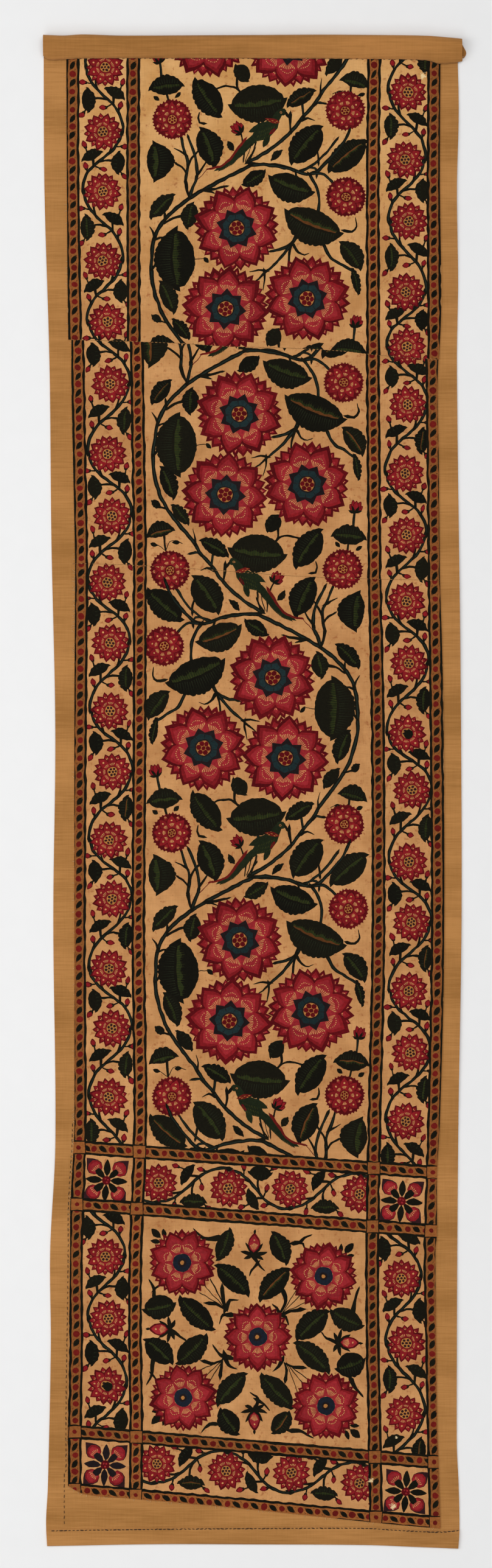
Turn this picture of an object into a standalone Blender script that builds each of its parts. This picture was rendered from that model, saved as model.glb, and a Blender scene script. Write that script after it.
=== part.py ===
"""Kalamkari panel, lying flat and face up.

A printed cotton cloth, pieced from three lengths, lies on a backing of slubby cotton. The
backing's lower end is turned up as a hem, and its upper end is folded forward as a heading
sleeve for a rod. +X runs to the right across the face, +Y up the panel to the heading and +Z
out of the face. The origin is the centre of the panel's outline, on the surface it lies on.
"""

import math

import bpy

MM = 0.001

# Driving dimensions, in millimetres
BACKING_THICK = 1.2
PRINT_THICK = 1.0
PIECE_GAP = 0.3
HEM_TURN_GAP = 0.15
HEM_EDGE_ROUND = 1.2
SLEEVE_WALL = 1.3
SEAM_HEIGHT = 822.3
SEAM_FALL = 0.0115
SLEEVE_THROAT = 1.6
RISE_CUTOFF = 0.04

# Grid of each sheet: columns across it, rows down it
BACKING_GRID = (16, 54)
TOP_GRID = (14, 12)
MIDDLE_GRID = (14, 9)
LOWER_GRID = (14, 34)

# Edges that run down the cloth. Columns: y along the cloth, x of the edge.
BACKING_LEFT = (
    (830.0, -236.5), (674.0, -235.6), (477.0, -229.9), (286.0, -227.9), (68.0, -223.4),
    (-142.0, -225.7), (-390.0, -223.3), (-514.0, -229.2), (-619.0, -228.5),
    (-775.0, -231.7), (-815.0, -233.8), (-845.0, -232.4),
)
BACKING_RIGHT = (
    (830.0, 226.0), (758.0, 227.4), (674.0, 225.4), (569.0, 226.7), (477.0, 225.4),
    (137.0, 229.4), (-135.0, 230.6), (-390.0, 226.8), (-724.0, 225.2), (-775.0, 227.4),
    (-823.0, 228.3), (-846.0, 226.9),
)
TOP_LEFT = ((830.0, -211.2), (681.0, -210.5), (545.0, -209.5), (500.0, -208.8))
TOP_RIGHT = ((830.0, 207.0), (681.0, 206.3), (545.0, 207.9), (480.0, 205.3))
MIDDLE_LEFT = ((506.0, -205.4), (449.0, -205.4), (341.0, -203.0), (252.0, -201.2))
MIDDLE_RIGHT = ((486.0, 204.7), (449.0, 203.6), (368.0, 205.0), (234.0, 206.3))
LOWER_LEFT = (
    (256.0, -201.2), (68.0, -202.1), (-367.0, -202.0), (-394.0, -202.8),
    (-463.0, -206.7), (-514.0, -206.9), (-700.0, -209.4), (-776.0, -209.2),
)
LOWER_RIGHT = (
    (236.0, 206.3), (137.0, 209.4), (0.0, 211.1), (-203.0, 210.7), (-367.0, 206.3),
    (-426.0, 203.1), (-495.0, 202.9), (-514.0, 201.2), (-700.0, 203.1),
    (-747.0, 204.7), (-824.0, 207.0),
)

# Lines that run across the cloth. Columns: x across the cloth, y of the line.
HEADING_TOP = (
    (-237.0, 844.8), (-214.0, 843.9), (-193.0, 845.1), (-149.0, 843.9), (0.0, 844.5),
    (95.0, 844.8), (191.0, 843.7), (214.0, 842.0), (232.0, 840.3),
)
HEADING_LOW = (
    (-237.0, 821.6), (-232.0, 818.4), (-226.0, 817.4), (-193.0, 819.0), (-47.0, 819.3),
    (150.0, 818.3), (193.0, 816.7), (205.0, 813.3), (224.0, 814.4), (232.0, 816.0),
)
FIRST_SEAM = (
    (-210.0, 504.8), (-142.0, 502.9), (-78.0, 500.4), (-33.0, 497.3), (25.0, 495.9),
    (95.0, 492.3), (140.0, 487.2), (206.0, 482.7),
)
SECOND_SEAM = (
    (-205.0, 255.1), (-138.0, 253.2), (-39.0, 247.0), (34.0, 241.6), (95.0, 238.7),
    (207.0, 235.9),
)
SLANTING_EDGE = (
    (-210.0, -774.6), (-191.0, -784.1), (-138.0, -789.2), (-40.0, -797.7),
    (66.0, -808.6), (129.0, -815.4), (177.0, -820.0), (208.0, -822.6),
)
HEM_TOP = (
    (-234.0, -823.6), (-115.0, -821.9), (0.0, -821.1), (123.0, -820.9), (165.0, -823.4),
    (207.0, -825.0), (229.0, -823.0),
)
BOTTOM_EDGE = (
    (-233.0, -842.3), (-115.0, -840.1), (0.0, -840.3), (123.0, -841.0), (177.0, -843.1),
    (228.0, -845.1),
)

# Low rises of the cloth off the surface, which lies flat on it where they fade to the cutoff.
# Columns: x, y, heading of the rise in degrees, half length, half width, height.
RISES = (
    (-225.0, 575.0, 84.0, 150.0, 34.0, 1.3),
    (222.0, 668.0, 92.0, 120.0, 32.0, 1.1),
    (-60.0, 500.0, 178.0, 170.0, 42.0, 0.7),
    (120.0, 430.0, 160.0, 130.0, 55.0, 0.8),
    (226.0, 180.0, 88.0, 170.0, 36.0, 1.4),
    (-222.0, 60.0, 91.0, 190.0, 34.0, 1.2),
    (20.0, 60.0, 20.0, 150.0, 60.0, 0.6),
    (228.0, -250.0, 90.0, 180.0, 34.0, 1.3),
    (-224.0, -420.0, 88.0, 120.0, 32.0, 1.5),
    (-30.0, -380.0, 172.0, 180.0, 46.0, 0.8),
    (224.0, -600.0, 91.0, 110.0, 32.0, 1.2),
    (60.0, -690.0, 12.0, 150.0, 50.0, 0.6),
    (-226.0, -680.0, 86.0, 110.0, 32.0, 1.1),
)

# The sleeve along its length. Columns: x, height of the puff.
SLEEVE_PUFF = (
    (-237.0, 11.6), (-205.0, 12.6), (-150.0, 11.8), (-80.0, 12.8), (0.0, 12.0),
    (70.0, 12.9), (130.0, 11.8), (175.0, 12.8), (205.0, 11.6), (232.0, 11.9),
)
SLEEVE_ENDS = (-236.9, 231.0)
SLEEVE_STATIONS = 40
NOSE_STEPS = 7
CROWN_STEPS = 8
# The ear of cloth at the right end. Columns: share of the sleeve's depth, how far it reaches out.
EAR = ((0.0, 0.0), (0.22, 0.4), (0.38, 3.0), (0.58, 5.8), (0.72, 5.2), (0.92, 1.6), (1.0, 1.0))

# Plan colours of the cloth: red, green, blue
TAN_COTTON = (0.45, 0.21, 0.075)
SLEEVE_COTTON = (0.42, 0.19, 0.065)
PRINTED_COTTON = (0.62, 0.31, 0.12)


def clear_scene():
    """Removes every object that the file starts with."""
    for thing in list(bpy.data.objects):
        bpy.data.objects.remove(thing)


def smooth_through(table, at):
    """A smooth curve through a two-column table, read at a place in its first column."""
    rows = sorted(table)
    at = min(max(at, rows[0][0]), rows[-1][0])
    i = max(k for k in range(len(rows) - 1) if rows[k][0] <= at)

    def slope(k):
        before, after = rows[max(k - 1, 0)], rows[min(k + 1, len(rows) - 1)]
        return (after[1] - before[1]) / (after[0] - before[0])

    (x0, y0), (x1, y1) = rows[i], rows[i + 1]
    span = x1 - x0
    t = (at - x0) / span
    start = (1 + 2 * t) * (1 - t) ** 2 * y0 + t * t * (3 - 2 * t) * y1
    return start + span * (t * (1 - t) ** 2 * slope(i) - t * t * (1 - t) * slope(i + 1))


def lift(x, y):
    """How far the cloth rises off the surface at a place on it."""
    height = 0.0
    for cx, cy, heading, half_length, half_width, peak in RISES:
        c, s = math.cos(math.radians(heading)), math.sin(math.radians(heading))
        along = ((x - cx) * c + (y - cy) * s) / half_length
        across = ((y - cy) * c - (x - cx) * s) / half_width
        height += peak * math.exp(-(along * along + across * across) * 1.5)
    return max(height - RISE_CUTOFF, 0.0)


def seam_line(x):
    """The line where the sleeve is sewn down and the flat cloths begin."""
    return SEAM_HEIGHT - SEAM_FALL * x


def plan_grid(upper, lower, left, right, columns, rows):
    """Rows of (x, y) points that fill the outline between four edges, the top row first."""
    grid = []
    for j in range(rows + 1):
        row = []
        for i in range(columns + 1):
            across = i / columns
            x, y = left(0.0) + across * (right(0.0) - left(0.0)), 0.0
            for _ in range(4):
                y = upper(x) + (lower(x) - upper(x)) * j / rows
                x = left(y) + across * (right(y) - left(y))
            row.append((x, y))
        grid.append(row)
    return grid


def add_piece(name, points, faces, colour):
    """One named object with its own cloth material, from points in millimetres."""
    mesh = bpy.data.meshes.new(name)
    mesh.from_pydata([(x * MM, y * MM, z * MM) for x, y, z in points], [], faces)
    mesh.shade_smooth()
    mesh.set_sharp_from_angle(angle=math.radians(40))
    material = bpy.data.materials.new(f"{name} cotton")
    material.use_nodes = True
    shader = material.node_tree.nodes["Principled BSDF"]
    shader.inputs["Base Color"].default_value = (*colour, 1.0)
    shader.inputs["Roughness"].default_value = 0.92
    shader.inputs["Metallic"].default_value = 0.0
    mesh.materials.append(material)
    piece = bpy.data.objects.new(name, mesh)
    bpy.context.scene.collection.objects.link(piece)
    return piece


def add_sheet(name, grid, underside, topside, colour):
    """A closed sheet over a grid of plan points, between the heights that two functions give."""
    height, width = len(grid), len(grid[0])
    points = [(x, y, topside(x, y, j)) for j, row in enumerate(grid) for x, y in row]
    points += [(x, y, underside(x, y)) for row in grid for x, y in row]
    below = height * width

    def at(i, j):
        return j * width + i

    faces = []
    for j in range(height - 1):
        for i in range(width - 1):
            quad = (at(i, j), at(i, j + 1), at(i + 1, j + 1), at(i + 1, j))
            faces.append(quad)
            faces.append(tuple(below + k for k in reversed(quad)))
    rim = [at(i, 0) for i in range(width)]
    rim += [at(width - 1, j) for j in range(1, height)]
    rim += [at(i, height - 1) for i in range(width - 2, -1, -1)]
    rim += [at(0, j) for j in range(height - 2, 0, -1)]
    for a, b in zip(rim, rim[1:] + rim[:1]):
        faces.append((a, b, below + b, below + a))
    return add_piece(name, points, faces, colour)


def add_backing():
    """The backing, with its lower end turned up to the face as a hem."""
    columns, rows = BACKING_GRID

    def left(y):
        return smooth_through(BACKING_LEFT, y)

    def right(y):
        return smooth_through(BACKING_RIGHT, y)

    def upper(x):
        return seam_line(x) - PIECE_GAP

    def hem(x):
        return smooth_through(HEM_TOP, x)

    def bottom(x):
        return smooth_through(BOTTOM_EDGE, x)

    def turned(x):
        return hem(x) - 0.6

    def above_fold(x):
        return bottom(x) + HEM_EDGE_ROUND

    body = plan_grid(upper, hem, left, right, columns, rows)
    flap = plan_grid(turned, above_fold, left, right, columns, 2)
    edge = plan_grid(bottom, bottom, left, right, columns, 1)[:1]
    grid = body + flap + edge
    double = 2 * BACKING_THICK + HEM_TURN_GAP
    fold_edge = double - 0.5
    tops = [BACKING_THICK] * len(body) + [double] * len(flap) + [fold_edge]

    def topside(x, y, j):
        return lift(x, y) + tops[j]

    add_sheet("backing", grid, lift, topside, TAN_COTTON)


def add_print(name, upper, lower, left, right, grid_size):
    """One length of printed cloth, lying on the backing."""
    grid = plan_grid(
        upper,
        lower,
        lambda y: smooth_through(left, y),
        lambda y: smooth_through(right, y),
        *grid_size,
    )
    base = BACKING_THICK + PIECE_GAP

    def underside(x, y):
        return lift(x, y) + base

    def topside(x, y, _row):
        return lift(x, y) + base + PRINT_THICK

    add_sheet(name, grid, underside, topside, PRINTED_COTTON)


def add_printed_cloths():
    """The three lengths of print, with a hairline between them at each cross seam."""
    half = PIECE_GAP / 2
    add_print(
        "printed_top",
        lambda x: seam_line(x) - PIECE_GAP,
        lambda x: smooth_through(FIRST_SEAM, x) + half,
        TOP_LEFT,
        TOP_RIGHT,
        TOP_GRID,
    )
    add_print(
        "printed_middle",
        lambda x: smooth_through(FIRST_SEAM, x) - half,
        lambda x: smooth_through(SECOND_SEAM, x) + half,
        MIDDLE_LEFT,
        MIDDLE_RIGHT,
        MIDDLE_GRID,
    )
    add_print(
        "printed_lower",
        lambda x: smooth_through(SECOND_SEAM, x) - half,
        lambda x: smooth_through(SLANTING_EDGE, x),
        LOWER_LEFT,
        LOWER_RIGHT,
        LOWER_GRID,
    )


def sleeve_section(x):
    """The sleeve's cross-section at x: its outer and inner loops of (y, z) points.

    Both loops start at the lip, run up over the puffed face, round the top fold and back
    along the underside to the seam.
    """
    top = smooth_through(HEADING_TOP, x)
    low = smooth_through(HEADING_LOW, x)
    puff = smooth_through(SLEEVE_PUFF, x)
    seam = seam_line(x)
    lip_under = BACKING_THICK + PRINT_THICK + 2 * PIECE_GAP
    lip_top = lip_under + SLEEVE_WALL
    radius = puff / 2
    crown = top - radius

    def face(share):
        """Height of the face between the lip, at 0, and the crown, at 1."""
        return lip_top + (puff - lip_top) * math.sin(share * math.pi / 2) ** 0.8

    outer = [(low, lip_under), (low, lip_top)]
    for k in range(1, CROWN_STEPS):
        share = k / CROWN_STEPS
        outer.append((low + (crown - low) * share, face(share)))
    nose = [math.radians(90 - 180 * k / NOSE_STEPS) for k in range(NOSE_STEPS + 1)]
    outer += [(crown + radius * math.cos(a), radius + radius * math.sin(a)) for a in nose]
    under = [seam + (crown - seam) * k / 6 for k in range(5, 0, -1)]
    outer += [(y, 0.0) for y in under]
    outer += [(seam, 0.0), (seam, lip_under)]

    end = seam + SLEEVE_THROAT
    inner_radius = radius - SLEEVE_WALL
    inner = []
    for k in range(CROWN_STEPS):
        share = k / CROWN_STEPS
        y = end + (crown - end) * share
        inner.append((y, face((y - low) / (crown - low)) - SLEEVE_WALL))
    inner += [
        (crown + inner_radius * math.cos(a), radius + inner_radius * math.sin(a)) for a in nose
    ]
    inner += [(max(y, end + 0.4), SLEEVE_WALL) for y in under[:-1]]
    inner += [(end, SLEEVE_WALL)]
    return outer, inner


def add_heading_sleeve():
    """The hollow sleeve for a rod, open at both ends, with an ear of cloth at its right end."""
    first, last = SLEEVE_ENDS
    points, rings = [], []
    for station in range(SLEEVE_STATIONS + 1):
        x = first + (last - first) * station / SLEEVE_STATIONS
        at_right_end = station == SLEEVE_STATIONS
        top = smooth_through(HEADING_TOP, x)
        depth = top - smooth_through(HEADING_LOW, x)
        ring = []
        for loop in sleeve_section(x):
            indices = []
            for y, z in loop:
                out = 0.0
                if at_right_end and z < 1.5 * SLEEVE_WALL:
                    out = smooth_through(EAR, (top - y) / depth)
                indices.append(len(points))
                points.append((x + out, y, z))
            ring.append(indices)
        rings.append(ring)
    faces = []
    for here, there in zip(rings, rings[1:]):
        for loop in (0, 1):
            a, b = here[loop], there[loop]
            for k in range(len(a)):
                n = (k + 1) % len(a)
                quad = (a[k], b[k], b[n], a[n])
                faces.append(quad if loop == 0 else tuple(reversed(quad)))
    for ring, turned in ((rings[0], False), (rings[-1], True)):
        for face in end_faces(ring, points):
            faces.append(tuple(reversed(face)) if turned else face)
    add_piece("heading_sleeve", points, faces, SLEEVE_COTTON)


def end_faces(ring, points):
    """Triangles that close a sleeve end between its outer and inner loops."""
    outer, inner = ring
    faces, i, j = [], 0, 0

    def distance(a, b):
        return math.dist(points[a][1:], points[b][1:])

    while i < len(outer) or j < len(inner):
        a, b = outer[i % len(outer)], inner[j % len(inner)]
        next_a, next_b = outer[(i + 1) % len(outer)], inner[(j + 1) % len(inner)]
        along_outer = i < len(outer) and (
            j >= len(inner) or distance(next_a, b) <= distance(a, next_b)
        )
        if along_outer:
            faces.append((a, next_a, b))
            i += 1
        else:
            faces.append((a, next_b, b))
            j += 1
    return faces


def main():
    clear_scene()
    add_backing()
    add_printed_cloths()
    add_heading_sleeve()


main()
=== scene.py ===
"""Kalamkari panel, lying flat and face up on a pale floor.

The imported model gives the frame: a backing of slubby cotton with a turned-up hem, a heading
sleeve for a rod, and a printed cloth pieced from three lengths. Here each of them is made again
as fine cloth, with the print cut into its mesh shape by shape, as a printer lays down the dyes.
Lengths in tables and in drawing code are millimetres; meshes are metres.
"""

import math
import random

import bpy
import numpy as np
from bpy.props import FloatProperty, FloatVectorProperty, IntProperty, PointerProperty
from mathutils.geometry import delaunay_2d_cdt
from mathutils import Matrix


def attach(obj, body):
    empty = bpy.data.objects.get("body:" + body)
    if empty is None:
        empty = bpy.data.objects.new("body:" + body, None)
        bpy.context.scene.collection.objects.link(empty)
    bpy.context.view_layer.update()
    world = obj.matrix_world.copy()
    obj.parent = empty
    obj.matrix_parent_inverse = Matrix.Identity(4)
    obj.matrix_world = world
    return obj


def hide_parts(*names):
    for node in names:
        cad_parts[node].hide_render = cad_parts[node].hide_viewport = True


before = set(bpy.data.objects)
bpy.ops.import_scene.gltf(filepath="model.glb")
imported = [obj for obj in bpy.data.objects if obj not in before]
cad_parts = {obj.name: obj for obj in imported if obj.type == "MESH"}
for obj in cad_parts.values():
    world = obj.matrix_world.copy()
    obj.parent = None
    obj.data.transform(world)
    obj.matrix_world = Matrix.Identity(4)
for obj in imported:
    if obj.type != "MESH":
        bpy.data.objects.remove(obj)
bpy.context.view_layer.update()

bl_info = {
    "name": "Kalamkari panel",
    "version": (1, 0, 0),
    "blender": (4, 5, 0),
    "location": "3D View > Sidebar > Panel cloth",
    "description": "Makes a printed cotton panel on its backing, with the print in its mesh",
    "category": "Add Mesh",
}

MM = 0.001

# The cloths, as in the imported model
BACKING_THICK = 1.2
PRINT_THICK = 1.0
PIECE_GAP = 0.3
HEM_TURN_GAP = 0.15
SLEEVE_WALL = 1.3
SEAM_HEIGHT = 822.3
SEAM_FALL = 0.0115
SLEEVE_THROAT = 1.6
RISE_CUTOFF = 0.04
PRINT_BASE = BACKING_THICK + PIECE_GAP
# About how wide and how long the backing is, to count its grid by
BACKING_ACROSS = 462.0
BACKING_DOWN = 1642.0

# Edges that run down the cloth. Columns: y along the cloth, x of the edge.
BACKING_LEFT = (
    (830, -236.5), (674, -235.6), (477, -229.9), (286, -227.9), (68, -223.4),
    (-142, -225.7), (-390, -223.3), (-514, -229.2), (-619, -228.5),
    (-775, -231.7), (-815, -233.8), (-845, -232.4),
)
BACKING_RIGHT = (
    (830, 226), (758, 227.4), (674, 225.4), (569, 226.7), (477, 225.4),
    (137, 229.4), (-135, 230.6), (-390, 226.8), (-724, 225.2), (-775, 227.4),
    (-823, 228.3), (-846, 226.9),
)
TOP_LEFT = ((830, -211.2), (681, -210.5), (545, -209.5), (500, -208.8))
TOP_RIGHT = ((830, 207), (681, 206.3), (545, 207.9), (480, 205.3))
MIDDLE_LEFT = ((506, -205.4), (449, -205.4), (341, -203), (252, -201.2))
MIDDLE_RIGHT = ((486, 204.7), (449, 203.6), (368, 205), (234, 206.3))
LOWER_LEFT = (
    (256, -201.2), (68, -202.1), (-367, -202), (-394, -202.8),
    (-463, -206.7), (-514, -206.9), (-700, -209.4), (-776, -209.2),
)
LOWER_RIGHT = (
    (236, 206.3), (137, 209.4), (0, 211.1), (-203, 210.7), (-367, 206.3),
    (-426, 203.1), (-495, 202.9), (-514, 201.2), (-700, 203.1),
    (-747, 204.7), (-824, 207),
)

# Lines that run across the cloth. Columns: x across the cloth, y of the line.
HEADING_TOP = (
    (-237, 844.8), (-214, 843.9), (-193, 845.1), (-149, 843.9), (0, 844.5),
    (95, 844.8), (191, 843.7), (214, 842), (232, 840.3),
)
HEADING_LOW = (
    (-237, 821.6), (-232, 818.4), (-226, 817.4), (-193, 819), (-47, 819.3),
    (150, 818.3), (193, 816.7), (205, 813.3), (224, 814.4), (232, 816),
)
FIRST_SEAM = (
    (-210, 504.8), (-142, 502.9), (-78, 500.4), (-33, 497.3), (25, 495.9),
    (95, 492.3), (140, 487.2), (206, 482.7),
)
SECOND_SEAM = (
    (-205, 255.1), (-138, 253.2), (-39, 247), (34, 241.6), (95, 238.7),
    (207, 235.9),
)
SLANTING_EDGE = (
    (-210, -774.6), (-191, -784.1), (-138, -789.2), (-40, -797.7),
    (66, -808.6), (129, -815.4), (177, -820), (208, -822.6),
)
HEM_TOP = (
    (-234, -823.6), (-115, -821.9), (0, -821.1), (123, -820.9), (165, -823.4),
    (207, -825), (229, -823),
)
BOTTOM_EDGE = (
    (-233, -842.3), (-115, -840.1), (0, -840.3), (123, -841), (177, -843.1),
    (228, -845.1),
)
# The hem's turned-up flap. Columns: share of the way down it, height over its full level.
HEM_FORM = (
    (0, -0.55), (0.03, -0.1), (0.09, 0), (0.16, -0.14), (0.26, -0.02), (0.4, 0), (0.55, 0),
    (0.7, 0), (0.84, 0), (0.93, -0.05), (0.97, -0.2), (1, -0.6),
)

# Low rises of the cloth off the surface that it lies on.
# Columns: x, y, heading of the rise in degrees, half length, half width, height.
RISES = (
    (-225, 575, 84, 150, 34, 1.3),
    (222, 668, 92, 120, 32, 1.1),
    (-60, 500, 178, 170, 42, 0.7),
    (120, 430, 160, 130, 55, 0.8),
    (226, 180, 88, 170, 36, 1.4),
    (-222, 60, 91, 190, 34, 1.2),
    (20, 60, 20, 150, 60, 0.6),
    (228, -250, 90, 180, 34, 1.3),
    (-224, -420, 88, 120, 32, 1.5),
    (-30, -380, 172, 180, 46, 0.8),
    (224, -600, 91, 110, 32, 1.2),
    (60, -690, 12, 150, 50, 0.6),
    (-226, -680, 86, 110, 32, 1.1),
)

# Soft creases pressed into the print. Columns: x and y of one end, x and y of the other,
# half width, height.
CREASES = (
    (-130, 640, 60, 652, 5, 0.22),
    (-90, 420, 125, 396, 6, 0.25),
    (-200, 306, -40, 300, 5, 0.2),
    (-40, 130, 130, 96, 7, 0.3),
    (-125, 20, 40, 36, 6, 0.25),
    (40, -60, 205, -84, 5, 0.25),
    (-125, -150, 30, -176, 6, 0.25),
    (-60, -352, 130, -368, 7, 1.1),
    (-128, -330, 0, -322, 6, 0.3),
    (20, -395, 128, -384, 6, 0.8),
    (-120, -536, 120, -566, 6, 0.22),
    (-30, -668, 128, -690, 7, 0.3),
)

# The sleeve along its length. Columns: x, height of the puff.
SLEEVE_PUFF = (
    (-237, 11.6), (-205, 12.6), (-150, 11.8), (-80, 12.8), (0, 12),
    (70, 12.9), (130, 11.8), (175, 12.8), (205, 11.6), (232, 11.9),
)
SLEEVE_ENDS = (-236.9, 231)
# Distance from one gather of the sleeve's sewn edge to the next
GATHER_PITCH = 9.5
# The ear of cloth at the right end. Columns: share of the sleeve's depth, how far it reaches out.
EAR = ((0, 0), (0.22, 0.4), (0.38, 3), (0.58, 5.8), (0.72, 5.2), (0.92, 1.6), (1, 1))

# Centre lines of the guard bands that run down the print, one table for each length of cloth.
# Columns: y, x of the outer left, inner left, inner right and outer right band.
TOP_GUARDS = (
    (818, -204.1, -136.4, 132.9, 200.2), (680.6, -204.1, -136.4, 131.5, 199.5),
    (510.6, -201.3, -135.7, 131.9, 200.2),
)
MIDDLE_GUARDS = (
    (497, -198.6, -132.3, 131.2, 197.8), (272.6, -194.5, -128.9, 133.3, 200.4),
)
LOWER_GUARDS = (
    (231.8, -194.5, -128.9, 133.6, 200.5), (68.6, -195.8, -129.2, 137, 202.6),
    (-162.6, -197.1, -130.6, 137.6, 203.9), (-373.4, -196.2, -128.6, 133.2, 199.9),
    (-514.1, -200.3, -133.7, 130.8, 195.8), (-611.4, -200, -134.4, 131.2, 197.6),
    (-699.8, -201.3, -133, 133.1, 199.2), (-801.8, -202, -133.7, 134.9, 201.6),
)
# Guard bands that run across the foot of the print. Columns: y at the middle, fall of the band.
CROSS_GUARDS = ((-410.8, 0.070), (-475.4, 0.075), (-731.4, 0.084), (-797.7, 0.092))

# Curls beside a guard band's dot and leaf. Columns: share of the pitch, distance from the band's
# middle, which way the curl runs.
GUARD_CURLS = ((0.24, 3.4, 1), (0.32, -3.2, -1), (0.70, 3.4, 1), (0.78, -3.0, -1))

# Centres of the rosettes in the side strips, from the top down. Columns: x, y.
LEFT_STRIP = (
    (-167.7, 809.1), (-170.4, 737.1), (-170.4, 670.4), (-170.4, 592.9), (-165, 524.9),
    (-162.2, 455.5), (-165, 377.3), (-160.2, 308), (-165, 233.9), (-162.2, 166.5),
    (-162.2, 90.4), (-159.5, 22.4), (-163.6, -53.8), (-160.2, -119.7), (-163.6, -197.3),
    (-160.2, -263.9), (-163.6, -340.7),
)
RIGHT_STRIP = (
    (171, 781.3), (167.6, 705.8), (171.6, 637.1), (168.2, 558.2), (169.6, 497),
    (170.3, 432.4), (167.6, 355.6), (168.9, 286.9), (168.9, 212.8), (171.6, 143.4),
    (169.6, 65.2), (175, 2), (171.6, -78.3), (174.4, -145.6), (171.6, -222.4),
    (173.7, -291.1), (168.2, -367.9),
)
LEFT_FOOT_STRIP = ((-167.7, -518.9), (-164.3, -588.3), (-166.3, -663.1))
RIGHT_FOOT_STRIP = ((163.5, -543.4), (168.9, -615.5), (166.9, -694.3))
UPPER_CROSS_STRIP = ((-107.8, -436.6), (-30.3, -442.7), (39, -443.4), (116.6, -448.9))
LOWER_CROSS_STRIP = ((-109.9, -750.1), (-32.4, -758.3), (40.4, -760.3), (116.6, -771.9))
# Centres of the corner squares. Columns: x, y, dye of their dark leaves.
CORNER_SQUARES = (
    (-166.3, -433.9, "leaf"), (163.5, -457, "leaf"), (-167.7, -751.5, "star"),
    (168.2, -781.4, "leaf"),
)

# Where the branch's unit is laid down the field. Columns: y of the unit, mirrored.
FIELD_UNITS = {
    "printed_top": ((839.4, True), (544.6, False), (250.2, True)),
    "printed_middle": ((632.3, True), (337.2, False), (42.8, True)),
    "printed_lower": ((337.2, False), (42.8, True), (-250.3, False), (-544.7, True)),
}
FIELD_MIDDLE = -0.7

# One unit of the branch, as it lies round its own middle. Columns: x and y of one corner, x and y
# of the other, bulge to the left of the line between them, bulge to its right.
UNIT_LEAVES = (
    (-92, 122, -112, 97, 7, 9), (-68, 113, -70, 85, 8, 9), (-83, 84, -82, 17, 18, 22),
    (-100, 25, -87, -9, 10, 7), (7, 148, -15, 133, 8, 7), (14, 141, 63, 124, 11, 17),
    (38, 103, 102, 78, 13, 22), (103, 69, 124, 40, 12, 8), (115, 39, 120, 12, 5, 4),
    (-112, -12, -102, -20, 4, 4), (-88, -17, -71, -38, 7, 6), (-117, -52, -88, -44, 12, 4),
    (-57, -56, -28, -73, 9, 7), (-25, -67, 36, -74, 18, 19), (30, -28, 17, -46, 8, 8),
    (76, -45, 48, -85, 13, 13), (67, -99, 50, -140, 11, 15), (37, -113, 30, -123, 4, 3),
    (119, -115, 114, -156, 8, 19), (90, -50, 126, -54, 12, 8), (-116, -113, -79, -145, 13, 13),
    (-65, -97, -36, -136, 15, 14), (-24, -123, -13, -134, 4, 3), (-38, -125, -32, -119, 2, 2),
)
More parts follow.
